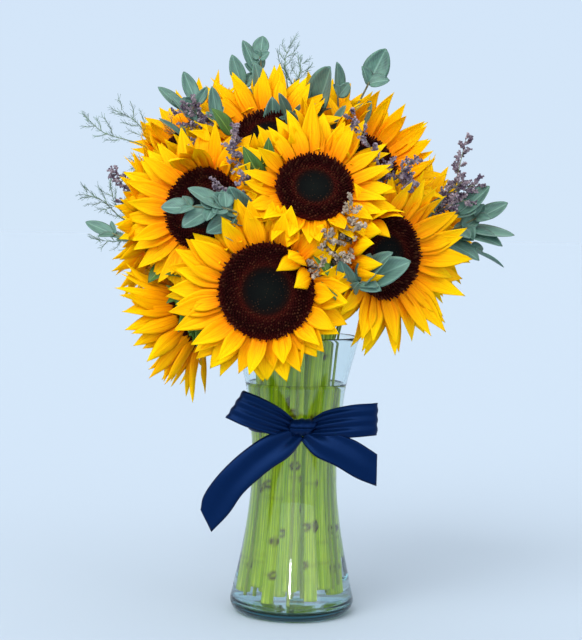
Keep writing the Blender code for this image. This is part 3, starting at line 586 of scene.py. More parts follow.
# ------------------------------------------------------------------ reading the frame
def read_head(name):
    """The disc's edge circle: its middle, its directions across, up and out, and its radius."""
    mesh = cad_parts[name + "_disc"].data
    points = np.unique(np.round(mesh_points(mesh), 5), axis=0)
    middle = points.mean(0)
    way = np.linalg.svd(points - middle)[2][2]
    height = (points - middle) @ way
    spread = np.linalg.norm(points - middle - np.outer(height, way), axis=1)
    if np.corrcoef(height, spread)[0, 1] > 0:
        way, height = -way, -height
    rim = spread > spread.max() * 0.99
    middle = middle + way * (height[rim].mean() + 1.0 * MM)
    across = unit(np.cross(UP, way))
    return middle, across, np.cross(way, across), way, spread.max()


def read_stem(name, radius):
    """The middle line of a CAD stem, found by feeling for its wall all round, from its foot up."""
    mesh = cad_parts[name].data
    wall = BVHTree.FromPolygons([v.co for v in mesh.vertices], [p.vertices[:] for p in mesh.polygons])
    points = mesh_points(mesh)
    foot = Vector(points[points[:, 2] < points[:, 2].min() + 0.2 * MM].mean(0))
    line, way = [foot], Vector((0, 0, 1))
    while True:
        at = line[-1] + way * radius * FEEL_STEP
        for _ in range(4):
            across = way.orthogonal().normalized()
            other = way.cross(across)
            felt, least = [], radius
            for k in range(FEELERS // 2):
                turn = 2 * math.pi * k / FEELERS
                feeler = across * math.cos(turn) + other * math.sin(turn)
                near, far = (wall.ray_cast(at, feeler * hand, radius * 1.6) for hand in (1, -1))
                if near[0] and far[0]:
                    felt.append((near[0] + far[0]) / 2)
                    least = min(least, (near[0] - far[0]).length / 2)
            if len(felt) < 3 or least < radius * 0.42:
                return np.array(line)
            at = sum(felt, Vector()) / len(felt)
        way = (way + (at - line[-1]).normalized() * 2).normalized()
        line.append(at)


HEADS = {name: read_head(name) for name, *_ in FLOWERS}


# ------------------------------------------------------------------ vase and water
def outline(points, count):
    """A smooth line through (radius, height) rows, in metres."""
    rows = np.array([(r, h, 0.0) for h, r in points]) * MM
    return smooth_line(rows, count)[:, :2]


def vase_radius(height):
    heights, radii = zip(*VASE_OUTLINE)
    return np.interp(height, heights, radii)


def make_vase():
    outside = outline(VASE_OUTLINE, 90)
    inner = [(h, r - VASE_WALL) for h, r in VASE_OUTLINE if h > VASE_FLOOR + 8]
    heel = vase_radius(VASE_FLOOR) - VASE_WALL
    inner = [(VASE_FLOOR, heel * 0.55), (VASE_FLOOR + 0.8, heel - 6), (VASE_FLOOR + 5, heel - 1)] + inner
    inside = outline(inner, 90)[::-1]
    lip_r, lip_h = (outside[-1] + inside[0]) / 2
    half = VASE_WALL * MM / 2
    lip = [(lip_r + half * math.cos(a), lip_h + half * 0.9 * math.sin(a) - half * 0.2)
           for a in np.linspace(0.2, math.pi - 0.2, 7)]
    punt = [(0.0, 2.4 * MM), (0.025, 1.6 * MM), (0.040, 0.3 * MM)]
    profile = punt + list(outside[:-1]) + lip + list(inside[1:]) + [(0.0, VASE_FLOOR * MM)]
    stock = Stock()
    stock.lathe(profile, VASE_SIDES)
    return settle(stock.made("clear_vase", [GLASS]), "glass", "vase")


def make_water():
    heights = [h for h, _ in VASE_OUTLINE if VASE_FLOOR + 8 < h < WATER_LEVEL - 6]
    wall = [(h, vase_radius(h) - VASE_WALL + WATER_OVERLAP) for h in heights + [WATER_LEVEL]]
    heel = vase_radius(VASE_FLOOR) - VASE_WALL
    low = [(VASE_FLOOR - 0.2, heel * 0.55), (VASE_FLOOR + 0.6, heel - 6 + WATER_OVERLAP),
           (VASE_FLOOR + 4.8, heel - 1 + WATER_OVERLAP)]
    side = [tuple(p) for p in outline(low + wall, 70)]
    rim = side[-1][0]
    meniscus = [(rim, (WATER_LEVEL + 1.0) * MM), (rim - 1.2 * MM, (WATER_LEVEL + 0.2) * MM),
                (rim - 3.5 * MM, (WATER_LEVEL - 0.1) * MM)]
    profile = [(0.0, (VASE_FLOOR - 0.2) * MM)] + side[:-1] + meniscus + [(0.0, (WATER_LEVEL - 0.1) * MM)]
    stock = Stock()
    stock.lathe(profile, VASE_SIDES)
    return settle(stock.made("still_water", [WATER]), "water", "water")


# ------------------------------------------------------------------ flower heads
def petal_outline(share):
    """Half width of a petal along its length: a narrow claw, a broad middle and a pointed tip."""
    claw = 0.66 + 0.34 * np.sin(np.clip(share / 0.45, 0, 1) * np.pi / 2)
    tip = np.clip((share - 0.40) / 0.60, 0, 1)
    return claw * np.maximum((1 - tip ** 1.75) * (1 - 0.22 * tip ** 2), 0.012)


def petal_grid(head, turn, start, height, reach, lift, curl, width, sway, twist, crease):
    middle, across, up, way, _ = head
    share = np.linspace(0, 1, PETAL_ROWS)
    angle = lift + curl * share ** 1.3
    step = reach / (PETAL_ROWS - 1)
    out = start + np.concatenate([[0], np.cumsum(np.cos(angle[1:]) * step)])
    rise = height + np.concatenate([[0], np.cumsum(np.sin(angle[1:]) * step)])
    u = np.linspace(-1, 1, PETAL_COLUMNS)[None, :]
    half = (width / 2 * petal_outline(share))[:, None]
    roll = (twist * share)[:, None]
    fold = half * (0.30 * u ** 2 + crease * np.cos(3 * np.pi * u) * (1 - u ** 2))
    wave = 0.10 * half * np.sin(9 * share[:, None] + 5 * turn) * u
    sideways = half * u * np.cos(roll) + (sway * share ** 2)[:, None]
    lifted = half * u * np.sin(roll) + fold + wave
    outward = out[:, None] - np.sin(angle)[:, None] * lifted
    forward = rise[:, None] + np.cos(angle)[:, None] * lifted
    radial = across * math.cos(turn) + up * math.sin(turn)
    beside = np.cross(way, radial)
    return middle + outward[..., None] * radial + forward[..., None] * way + sideways[..., None] * beside


def crowding(name, points):
    """How much of a petal's middle line runs into another flower's disc."""
    cost = 0.0
    for other, (middle, _, _, way, radius) in HEADS.items():
        if other == name:
            continue
        offset = points - middle
        deep = offset @ way
        spread = np.linalg.norm(offset - np.outer(deep, way), axis=1)
        cost += 3.0 * ((spread < radius + 3 * MM) & (deep > -24 * MM) & (deep < 5 * MM)).sum()
    return cost


def clear_petal(name, lifts, turn, start, depth, reach, lift, *shape):
    """A petal, lifted by the change that keeps it clearest of the other flowers' discs."""
    best = None
    for change in lifts:
        grid = petal_grid(HEADS[name], turn, start, depth, reach, lift + math.radians(change), *shape)
        cost = crowding(name, grid[:, PETAL_COLUMNS // 2]) + abs(change) * 0.04
        if best is None or cost < best[0]:
            best = (cost, grid)
    return best[1]


def make_petals(name, length, cup, first, side, more):
    """A head's ray petals, in three rounds."""
    draw = random.Random("petals of " + name)
    radius = HEADS[name][4]
    stock = Stock()
    for number, (count, start, depth, share, extra, width) in enumerate(PETAL_ROUNDS):
        for k in range(count):
            turn = 2 * math.pi * (k + first + number * 0.37 + draw.uniform(-0.22, 0.22)) / count
            reach = (1 - start) * radius + length * MM * share * draw.uniform(0.88, 1.06)
            reach *= 1 + more * math.cos(turn - math.radians(side))
            lift = math.radians(cup + extra + draw.gauss(0, 6))
            curl = math.radians(draw.uniform(-36, 22))
            wide = width * radius * draw.uniform(0.84, 1.12)
            sway, twist = draw.gauss(0, 3.2) * MM, math.radians(draw.gauss(0, 18))
            crease, tone = draw.uniform(0.05, 0.12), draw.random() ** 2
            inset, lifts = start, LIFTS
            for low, high, fold in FOLDED.get(name, ()):
                inside = (math.degrees(turn) - low) % 360 < high - low
                if inside and FOLDED_ROUNDS[number] * draw.random() > 0.15:
                    lift = math.radians(fold * FOLDED_ROUNDS[number] + draw.gauss(0, 7))
                    curl = math.radians(draw.uniform(38, 72))
                    inset, lifts = 1.0, (0,)
            grid = clear_petal(name, lifts, turn, inset * radius, depth * MM, reach, lift, curl, wide,
                               sway, twist, crease)
            stock.shell(grid, 0.5 * MM, tone)
    return settle(stock.made(name + "_ray_petals", [PETAL]), "petal", name + "_petals")


def new_tree(name, sizes, finishes):
    """A tree of geometry nodes with named inputs for its sizes and finishes, and those inputs."""
    tree = bpy.data.node_groups.new(name, "GeometryNodeTree")

    def socket(label, kind, way="INPUT"):
        return tree.interface.new_socket(label, in_out=way, socket_type="NodeSocket" + kind)

    socket("Geometry", "Geometry")
    for label, value in sizes.items():
        socket(label, "Int" if isinstance(value, int) else "Float").default_value = value
    for label in finishes:
        socket(label, "Material")
    socket("Geometry", "Geometry", "OUTPUT")
    return tree, put(tree, "NodeGroupInput").outputs


def chance(tree, seed, low=0.0, high=1.0):
    """A random number for each point."""
    return put(tree, "FunctionNodeRandomValue", {2: low, 3: high, "Seed": seed},
               data_type="FLOAT").outputs[1]


def curve(tree, value, *points):
    """A number read off a smooth curve through the points, the first at 0 and the last at 1."""
    made = put(tree, "ShaderNodeFloatCurve", {"Factor": 1.0, "Value": value})
    spots = made.mapping.curves[0].points
    for at, height in points[1:-1]:
        spots.new(at, height)
    spots[0].location, spots[-1].location = points[0], points[-1]
    made.mapping.update()
    return made


def cones(tree, spots, bottom, top, turned, wide, tall):
    """Small five-sided pieces set on points, and made real."""
    cone = put(tree, "GeometryNodeMeshCone", {"Vertices": 5, "Radius Top": top, "Radius Bottom": bottom,
                                              "Depth": 1.0})
    scale = put(tree, "ShaderNodeCombineXYZ", {0: wide, 1: wide, 2: tall})
    pieces = put(tree, "GeometryNodeInstanceOnPoints", {"Points": spots, "Instance": cone,
                                                        "Rotation": turned, "Scale": scale})
    return put(tree, "GeometryNodeRealizeInstances", {"Geometry": pieces})


def with_finish(tree, geometry, finish):
    return put(tree, "GeometryNodeSetMaterial", {"Geometry": geometry, "Material": finish})


def round_place(tree, out, turn, height):
    """The place at a distance out and a turn round Z, as a vector."""
    return put(tree, "ShaderNodeCombineXYZ", {0: times(tree, out, calc(tree, "COSINE", turn)),
                                              1: times(tree, out, calc(tree, "SINE", turn)),
                                              2: height})


def floret_tree():
    """Sets florets on a disc in the two families of spirals that a golden angle makes."""
    tree, given = new_tree("disc_florets", {"Radius": 0.035, "Florets": 700, "Floret width": 0.0011,
                                            "Seed": 1}, ("Finish",))
    index = put(tree, "GeometryNodeInputIndex")
    share = calc(tree, "SQRT", calc(tree, "DIVIDE", calc(tree, "ADD", index, 0.5), given["Florets"]))
    turn = times(tree, index, GOLDEN_ANGLE)
    dome = curve(tree, share, (0.0, 0.40), (0.35, 0.50), (0.72, 0.72), (0.90, 0.62), (1.0, 0.42))
    place = round_place(tree, times(tree, share, given["Radius"]), turn,
                        calc(tree, "MULTIPLY_ADD", dome, 0.008, -0.0040))
    points = put(tree, "GeometryNodePoints", {"Count": given["Florets"], "Position": place})
    for name, value in (("ring", share), ("tone", chance(tree, given["Seed"]))):
        points = put(tree, "GeometryNodeStoreNamedAttribute",
                     {"Geometry": points, "Name": name, "Value": value}, data_type="FLOAT", domain="POINT")
    size = curve(tree, share, (0.0, 0.16), (0.42, 0.24), (0.54, 0.60), (0.66, 0.70), (0.90, 0.90),
                 (1.0, 1.0))
    tall = times(tree, times(tree, size, 0.0034), chance(tree, given["Seed"], 0.7, 1.25))
    wide = times(tree, given["Floret width"], calc(tree, "MULTIPLY_ADD", share, 0.75, 0.60))
    lean = times(tree, calc(tree, "POWER", share, 8.0), 0.8)
    jitter = put(tree, "FunctionNodeRandomValue", {0: (-0.16, -0.16, 0), 1: (0.16, 0.16, 0)},
                 data_type="FLOAT_VECTOR")
    facing = put(tree, "ShaderNodeVectorMath", {0: round_place(tree, lean, turn, 1.0), 1: jitter},
                 operation="ADD")
    turned = put(tree, "FunctionNodeAlignRotationToVector", {"Vector": facing}, axis="Z")
    joined = put(tree, "GeometryNodeJoinGeometry", {0: cones(tree, points, 0.75, 0.45, turned, wide, tall)})
    tree.links.new(given["Geometry"], joined.inputs[0])
    put(tree, "NodeGroupOutput", {0: with_finish(tree, joined, given["Finish"])})
    return tree


def grown(piece, tree, **sizes):
    """Runs a node tree on a piece, and leaves the result as its plain mesh."""
    step = piece.modifiers.new("grow", "NODES")
    step.node_group = tree
    sockets = {item.name: item.identifier for item in tree.interface.items_tree
               if item.item_type == "SOCKET" and item.in_out == "INPUT"}
    for label, value in sizes.items():
        step[sockets[label.replace("_", " ").capitalize()]] = value
    mesh = bpy.data.meshes.new_from_object(piece.evaluated_get(bpy.context.evaluated_depsgraph_get()))
    piece.modifiers.remove(step)
    mesh.name = piece.name
    piece.data = mesh
    return piece


def make_disc(name, number, tree):
    """The dark disc of a head, covered with florets."""
    middle, across, up, way, radius = HEADS[name]
    stock = Stock()
    stock.lathe([(share * radius, height * MM) for share, height in DISC_PROFILE], 48)
    piece = stock.made(name + "_floret_disc", [FLORET])
    reach = np.linalg.norm(np.vstack(stock.points)[:, :2], axis=1) / radius
    piece.data.attributes.new("ring", "FLOAT", "POINT").data.foreach_set("value", reach)
    count = int(FLORETS * (radius / FLORETS_RADIUS) ** 2)
    mesh = grown(piece, tree, radius=radius * 0.985, florets=count, seed=number, finish=FLORET).data
    placed = middle + mesh_points(mesh) @ np.array([across, up, way])
    mesh.vertices.foreach_set("co", placed.ravel())
    mesh.update()
    return settle(piece, "florets", name + "_disc")


# ------------------------------------------------------------------ stems, bracts and leaves
def bract_outline(share):
    """Half width of a bract: broad at its foot, with a long point."""
    foot = 0.55 + 0.45 * np.sin(np.clip(share / 0.35, 0, 1) * np.pi / 2)
    return foot * np.maximum(1 - np.clip((share - 0.25) / 0.75, 0, 1) ** 1.4, 0.02)


def leaf_outline(share):
    """Half width of a broad pointed leaf."""
    return np.maximum(np.sin(np.pi * np.clip(share, 0.004, 0.996) ** 0.72) ** 0.8, 0.03)


def round_leaf(share):
    """Half width of a rounder leaf with a short point."""
    return np.maximum(np.sin(np.pi * np.clip(share, 0.004, 0.996) ** 0.80) ** 0.62, 0.03)


def blade(base, tip, face, width, outline_of, rows=9, columns=7, sag=0.0, trough=0.22, roll=0.0):
    """The surface of a leaf from base to tip, whose upper side looks towards face."""
    base, tip = np.asarray(base, float), np.asarray(tip, float)
    along = unit(tip - base)
    side = unit(np.cross(along, face))
    normal = np.cross(side, along)
    if roll:
        side, normal = (side * math.cos(roll) + normal * math.sin(roll),
                        normal * math.cos(roll) - side * math.sin(roll))
    share = np.linspace(0, 1, rows)
    u = np.linspace(-1, 1, columns)[None, :]
    half = (width / 2 * outline_of(share))[:, None]
    arch = sag * np.linalg.norm(tip - base) * (4 * share * (1 - share))
    lifted = arch[:, None] + half * trough * (u ** 2 - 0.35 * np.exp(-(u / 0.18) ** 2))
    line = base + (tip - base) * share[:, None]
    return line[:, None, :] - side * (half * u)[..., None] + normal * lifted[..., None]


def scarred_stem(draw):
    """A stem's uneven skin: shallow ribs, gentle swellings and leaf scars with a rough rim."""
    scars = [(draw.uniform(0.02, 0.24), draw.uniform(0, 2 * math.pi)) for _ in range(8)]
    phase, ribs = draw.uniform(0, 6), draw.choice((5, 6, 7))

    def shape(along, turn, radii, tones):
        radii = radii * (1 + 0.030 * np.cos(ribs * turn + phase + along * 6)
                         + 0.035 * np.sin(along * 31 + phase))
        for at, angle in scars:
            beside = np.abs((turn - angle + np.pi) % (2 * np.pi) - np.pi) * STEM_RADIUS
            near = np.sqrt((beside / (4.8 * MM)) ** 2 + ((along - at) / (3.4 * MM)) ** 2)
            radii = radii + 1.1 * MM * np.exp(-near ** 2)
            tones = np.maximum(tones, np.exp(-((near - 0.75) / 0.40) ** 2) * 0.95)
            ringed = np.exp(-((along - at) / (1.6 * MM)) ** 2)
            radii = radii + 0.35 * MM * ringed
            tones = np.maximum(tones, 0.22 * ringed + 0 * turn)
        return radii, tones

    return shape


def add_bracts(stock, draw, name):
    """The green cup behind a head, and its bracts."""
    middle, across, up, way, radius = HEADS[name]
    stock.lathe([(share * radius, height * MM) for share, height in CUP_PROFILE], 36, 1,
                lambda points: middle + points @ np.array([across, up, way]))
    for count, start, depth, reach, drop, wide in BRACT_ROUNDS:
        for k in range(count):
            turn = 2 * math.pi * (k + draw.uniform(-0.25, 0.25) + 0.5 * (start > 0.7)) / count
            radial = across * math.cos(turn) + up * math.sin(turn)
            slope = math.radians(drop + draw.gauss(0, 9))
            base = middle + radial * start * radius + way * depth * MM
            aim = radial * math.cos(slope) + way * math.sin(slope)
            tip = base + aim * reach * radius * draw.uniform(0.85, 1.15)
            grid = blade(base, tip, way, wide * radius, bract_outline, 8, 7, draw.uniform(-0.10, 0.04),
                         0.2, draw.gauss(0, 0.25))
            stock.shell(grid, 0.6 * MM, draw.random() * 0.4, 1)


def add_leaf(stock, draw, base, tip, face, wide, sag):
    """A broad green leaf of the flower's own."""
    grid = blade(base, tip, face, wide, leaf_outline, 12, 9, sag, 0.25, draw.gauss(0, 0.3))
    stock.shell(grid, 0.6 * MM, draw.random() * 0.3, 2)


def make_stem(name):
    """A flower's stem with its cup, bracts and leaves."""
    draw = random.Random("stem of " + name)
    middle, across, up, way, _ = HEADS[name]
    line = read_stem(name + "_stem", STEM_RADIUS)
    foot = line[0, 2] + draw.uniform(0, 14) * MM
    line = line[line[:, 2] > foot]
    apart = np.linalg.norm(line - (middle - way * NECK_DEPTH), axis=1) > 6 * MM
    line = np.vstack([line[apart][::3], middle - way * (NECK_DEPTH + 1 * MM), middle - way * STEM_END])
    line = smooth_line(line, int(lengths(line)[-1] / (2.6 * MM)))
    stock = Stock()
    stock.tube(line, STEM_RADIUS * draw.uniform(0.93, 1.08), 20, scarred_stem(draw))
    add_bracts(stock, draw, name)
    for k in range(3):
        at = line[int(len(line) * (1 - 0.05 * (k + 1)) - 4)]
        turn = 2 * math.pi * (k * 0.38 + draw.random())
        out = across * math.cos(turn) + up * math.sin(turn)
        if at[2] < LOWEST_LEAF:
            continue
        base = at + out * 4 * MM
        elbow = base + out * 10 * MM + way * 2 * MM
        stock.tube(smooth_line([at, base, elbow], 8), 1.2 * MM, 8)
        tip = elbow + (out + way * draw.uniform(-0.5, 0.3)) * draw.uniform(26, 34) * MM
        add_leaf(stock, draw, elbow, tip, way, draw.uniform(20, 26) * MM, 0.08)
    for owner, *ends, wide in GAP_LEAVES:
        if owner == name:
            base, tip = np.array(ends) * MM
            root = line[np.linalg.norm(line - base, axis=1).argmin()]
            hung = (root + base) / 2 - UP * 3 * MM
            stock.tube(smooth_line([root, hung, base], 10), 1.0 * MM, 8)
            add_leaf(stock, draw, base, tip, LEAF_FACE, wide * MM, 0.06)
    return settle(stock.made(name + "_green_stem", [STEM, BRACT, FOLIAGE]), "stem", name + "_stem")


# ------------------------------------------------------------------ sprigs
def fringe_tree():
    """Sweeps twigs along lines, and sets small pieces, such as florets or needles, along some of them."""
    tree, given = new_tree(
        "twigs_and_fringe", {"Spacing": 0.002, "Piece length": 0.002, "Piece width": 0.001,
                             "Piece tip": 1.0, "Least lean": 0.3, "Most lean": 1.2, "Seed": 1},
        ("Twig finish", "Piece finish"))
    seed = given["Seed"]
    lines = put(tree, "GeometryNodeMeshToCurve", {"Mesh": given["Geometry"]})
    thick, bears = (put(tree, "GeometryNodeInputNamedAttribute", {"Name": name}, data_type="FLOAT")
                    for name in ("thick", "bears"))
    sized = put(tree, "GeometryNodeSetCurveRadius", {"Curve": lines, "Radius": thick})
    ring = put(tree, "GeometryNodeCurvePrimitiveCircle", {"Resolution": 6, "Radius": 1.0})
    swept = put(tree, "GeometryNodeCurveToMesh", {"Curve": sized, "Profile Curve": ring,
                                                  "Fill Caps": True, "Scale": thick})
    twigs = with_finish(tree, swept, given["Twig finish"])
    chosen = put(tree, "GeometryNodeSeparateGeometry",
                 {"Geometry": lines, "Selection": calc(tree, "GREATER_THAN", bears, 0.5)}, domain="CURVE")
    spots = put(tree, "GeometryNodeCurveToPoints", {"Curve": chosen, "Length": given["Spacing"]},
                mode="LENGTH")
    lean = chance(tree, seed, given["Least lean"], given["Most lean"])
    spin = chance(tree, calc(tree, "ADD", seed, 7.0), 0.0, 2 * math.pi)
    angles = put(tree, "ShaderNodeCombineXYZ", {0: lean, 1: 0.0, 2: spin})
    turned = put(tree, "FunctionNodeRotateRotation",
                 {0: spots.outputs["Rotation"], 1: put(tree, "FunctionNodeEulerToRotation", {0: angles})},
                 rotation_space="LOCAL")
    size = chance(tree, calc(tree, "ADD", seed, 11.0), 0.6, 1.25)
    pieces = cones(tree, spots, 0.35, given["Piece tip"], turned, times(tree, size, given["Piece width"]),
                   times(tree, size, given["Piece length"]))
    joined = put(tree, "GeometryNodeJoinGeometry",
                 {0: with_finish(tree, pieces, given["Piece finish"])})
    tree.links.new(twigs.outputs[0], joined.inputs[0])
    put(tree, "NodeGroupOutput", {0: joined})
    return tree


class Twigs:
    """Lines that become a sprig's twigs: each has a thickness along it, and may bear florets."""

    def __init__(self):
        self.points, self.edges, self.thick, self.bears = [], [], [], []

    def add(self, line, first, last, bears=False):
        start, count = len(self.points), len(line)
        self.points += [tuple(p) for p in line]
        self.edges += [(start + i, start + i + 1) for i in range(count - 1)]
        self.thick += list(np.linspace(first, last, count))
        self.bears += [1.0 if bears else 0.0] * count

    def made(self, name):
        """The lines as a mesh of edges."""
        mesh = bpy.data.meshes.new(name)
        mesh.from_pydata(self.points, self.edges, [])
        for label, values in (("thick", self.thick), ("bears", self.bears)):
            mesh.attributes.new(label, "FLOAT", "POINT").data.foreach_set("value", values)
        return stand(name, mesh)


def joined_to(piece, other):
    """Joins another object's mesh, with its finishes, to a piece."""
    with bpy.context.temp_override(active_object=piece, object=piece,
                                   selected_editable_objects=[piece, other]):
        bpy.ops.object.join()
    return piece


def sprig_line(name):
    """A sprig's stem, and the stretch of it from SPRIG_START up."""
    line = read_stem(name, SPRIG_RADIUS)
    line = line[line[:, 2] > line[0, 2] + random.Random(name).uniform(2, 22) * MM]
    if name in BEYOND:
        rest = np.array(BEYOND[name]) * MM
        line = np.vstack([line, smooth_line(np.vstack([line[-1:], rest]), 12)[1:]])
    line = even_line(line, int(len(line) * SPRIG_RADIUS * FEEL_STEP / (4 * MM)))
    return line, line[np.argmax(line[:, 2] > SPRIG_START):]


def at_share(line, share):
    place = share * (len(line) - 1)
    k = min(int(place), len(line) - 2)
    return line[k] + (line[k + 1] - line[k]) * (place - k)


def start_sprig(kind, name, thinned):
    """A sprig's node, its random draws, its stem from SPRIG_START up, and its twigs so far."""
    draw = random.Random(kind.replace("_", " ") + " " + name)
    node = kind + "_" + name
    line, upper = sprig_line(node)
    twigs = Twigs()
    twigs.add(line, SPRIG_RADIUS, SPRIG_RADIUS * thinned)
    return node, draw, upper, twigs


def side_twigs(upper, ends):
    """For each side twig of a sprig: its base and tip, the way it runs, how far, and its width."""
    for share, tip, width in ends:
        base, tip = at_share(upper, share), np.array(tip) * MM
        yield base, tip, unit(tip - base), np.linalg.norm(tip - base), width * MM


def make_eucalyptus(name, ends, tree):
    """A eucalyptus sprig: each side twig ends in a leaf with a smaller one on each side."""
    node, draw, upper, twigs = start_sprig("eucalyptus", name, 0.6)
    leaves = Stock()

    def add_round_leaf(base, tip, face, wide, rows, columns, trough, turned):
        grid = blade(base, tip, face, wide, round_leaf, rows, columns, draw.uniform(-0.05, 0.1), trough,
                     draw.gauss(0, turned))
        leaves.shell(grid, 0.5 * MM, draw.random() * 0.6)

    for base, tip, along, far, width in side_twigs(upper, ends):
        size = min(far * 0.92, max(0.030, width * 2.1))
        start = tip - along * size
        if far > size:
            bow = np.cross(along, UP) * draw.uniform(-2, 2) * MM
            twigs.add(smooth_line([base, (base + start) / 2 + bow, start + along * 2 * MM], 8),
                      1.0 * MM, 0.7 * MM)
        face = unit(np.array([0.15, -0.9, 0.6]) + np.array([draw.gauss(0, 0.3) for _ in range(3)]))
        wide = width * draw.uniform(1.0, 1.15)
        add_round_leaf(start, tip, face, wide, 14, 9, 0.28, 0.2)
        for hand in (-1, 1):
            root = start - along * draw.uniform(0, 4) * MM
            side = unit(np.cross(along, face)) * hand
            aim = unit(along * draw.uniform(0.5, 0.9) + side * draw.uniform(0.6, 0.9)
                       + face * draw.uniform(0.1, 0.5))
            long = size * draw.uniform(0.42, 0.62)
            add_round_leaf(root, root + aim * long, face, wide * draw.uniform(0.55, 0.8), 10, 7, 0.3, 0.3)
    piece = grown(twigs.made(node + "_sprig"), tree, twig_finish=EUCALYPTUS_TWIG,
                  piece_finish=EUCALYPTUS_TWIG)
    joined_to(piece, leaves.made(node + "_leaves", [EUCALYPTUS_LEAF]))
    return settle(piece, "eucalyptus", node)


def make_sea_lavender(name, ends, tree, number):
    """A sea lavender sprig: each side twig is a tuft of short branches set with florets."""
    node, draw, upper, twigs = start_sprig("sea_lavender", name, 0.45)
    for base, tip, along, _, width in side_twigs(upper, ends):
        stalk = smooth_line([base, (base + tip) / 2 + np.cross(along, UP) * draw.uniform(-3, 3) * MM,
                             tip], 12)
        twigs.add(stalk, 0.6 * MM, 0.25 * MM)
        for k in range(16):
            at = at_share(stalk, 0.15 + 0.85 * k / 15)
            out = unit([draw.gauss(0, 1) for _ in range(3)])
            out = unit(out - along * out.dot(along))
            long = width * 0.5 * draw.uniform(0.75, 1.35)
            end = at + (out * 0.85 + along * 0.75) * long
            curved = (at + end) / 2 + along * -0.1 * long + out * 0.12 * long
            twigs.add(smooth_line([at, curved, end], 6), 0.28 * MM, 0.18 * MM, bears=True)
            twigs.add(smooth_line([curved, curved + (unit(out + along * 1.6)) * long * 0.5], 4),
                      0.2 * MM, 0.15 * MM, bears=True)
    florets = PALE_FLORET if name == "middle" else LAVENDER_FLORET
    piece = grown(twigs.made(node + "_sprig"), tree, spacing=0.7 * MM, piece_length=3.0 * MM,
                  piece_width=0.95 * MM, piece_tip=1.0, least_lean=0.2, most_lean=1.0, seed=number,
                  twig_finish=LAVENDER_TWIG, piece_finish=florets)
    return settle(piece, "sea_lavender", node)


def make_feathery(name, ends, tree, number):
    """A feathery sprig: each side twig is a bowed plume with hooked branches full of needles."""
    node, draw, upper, twigs = start_sprig("feathery", name, 0.4)
    for base, tip, along, far, _ in side_twigs(upper, ends):
        side = unit(np.cross(along, [0.1, -0.9, 0.3]))
        bow = side * draw.choice((-1, 1)) * far * 0.12
        twigs.add(smooth_line([base, base + (tip - base) * 0.55 + bow, tip], 14), 0.5 * MM, 0.2 * MM,
                  bears=True)
        for k in range(6):
            at = base + (tip - base) * (0.25 + 0.12 * k) + bow * 0.8
            hand = 1 if k % 2 else -1
            spread = side * hand * draw.uniform(0.6, 1.0)
            aim = unit(along * 0.9 + spread + np.array([draw.gauss(0, 0.2) for _ in range(3)]))
            long = draw.uniform(10, 17) * MM * (1.1 - 0.08 * k)
            hook = aim * long + along * long * 0.25
            twigs.add(smooth_line([at, at + aim * long * 0.6, at + hook], 8), 0.3 * MM, 0.15 * MM,
                      bears=True)
    piece = grown(twigs.made(node + "_sprig"), tree, spacing=0.8 * MM, piece_length=4.4 * MM,
                  piece_width=0.42 * MM, piece_tip=0.3, least_lean=0.35, most_lean=0.9, seed=number,
                  twig_finish=FEATHER_TWIG, piece_finish=FEATHER_NEEDLE)
    return settle(piece, "feathery", node)


# ------------------------------------------------------------------ ribbon
def add_satin(stock, grid, share, length):
    """A stretch of ribbon, with its grain across and along it."""
    grain = np.stack(np.broadcast_arrays(share[None, :], length[:, None], 0.0), axis=-1)
    stock.shell(grid, RIBBON_THICK * MM, 0.0, 0, grain)


def ribbon_strip(stock, places, stations, columns, pleats, gather):
    """A loop or tail; gather is the depth of its pleats at its start, its end and between them."""
    rows = np.array([middle + half for middle, half in places], float) * MM
    line = smooth_line(rows, stations)
    middles, halves = line[:, :3], line[:, 3:]
    along = unit(np.gradient(middles, axis=0))
    normal = unit(np.cross(along, halves))
    u = np.linspace(-1, 1, columns)
    share = np.linspace(0, 1, stations)
    depth = np.interp(share, (0, 0.45, 0.6, 1), (gather[0], gather[2], gather[2], gather[1])) * MM
    wave = np.cos(u[None, :] * np.pi * pleats + 1.1 * share[:, None])
    grid = middles[:, None] + halves[:, None] * u[None, :, None]
    grid = grid + normal[:, None] * (depth[:, None] * wave)[..., None]
    add_satin(stock, grid, u, lengths(middles))


def ribbon_band(stock):
    """The turn of ribbon round the vase, gathered into pleats, which starts and ends behind the knot."""
    turns = np.linspace(-2 * math.pi, 0, 145) - math.pi / 2 + math.asin(KNOT[0] / 42)
    share = np.linspace(-1, 1, 25)
    rows = []
    for a in turns:
        pleat = 0.9 + 0.55 * np.cos(share * 4.5 * math.pi + 1.5 * math.sin(a * 2))
        z = (BAND_LOW + BAND_HIGH) / 2 + share * (BAND_HIGH - BAND_LOW) / 2 + 0.5 * math.sin(a * 3)
        out = vase_radius(z) + 0.5 + pleat
        rows.append(np.stack([out * math.cos(a), out * math.sin(a), z], axis=-1))
    add_satin(stock, np.array(rows) * MM, share, turns * 0.042)


def ribbon_knot(stock):
    """The short turn of gathered ribbon over the middle of the bow."""
    x0, y0, z0 = KNOT
    turns = np.linspace(0, 2 * math.pi, 41)
    u = np.linspace(-1, 1, 15)
    rows = []
    for a in turns:
        row = []
        for x in u:
            pinch = 1 - 0.26 * abs(x) ** 2.2 + 0.07 * math.cos(x * 11 + 1.6 * math.sin(a))
            wide = 11.0 + 1.0 * math.sin(a * 2)
            row.append((x0 + wide * x + 1.5 * math.sin(a), y0 - 6.8 * pinch * math.cos(a) + 0.4,
                        z0 + 7.4 * pinch * math.sin(a)))
        rows.append(row)
    add_satin(stock, np.array(rows) * MM, u, turns * 0.008)


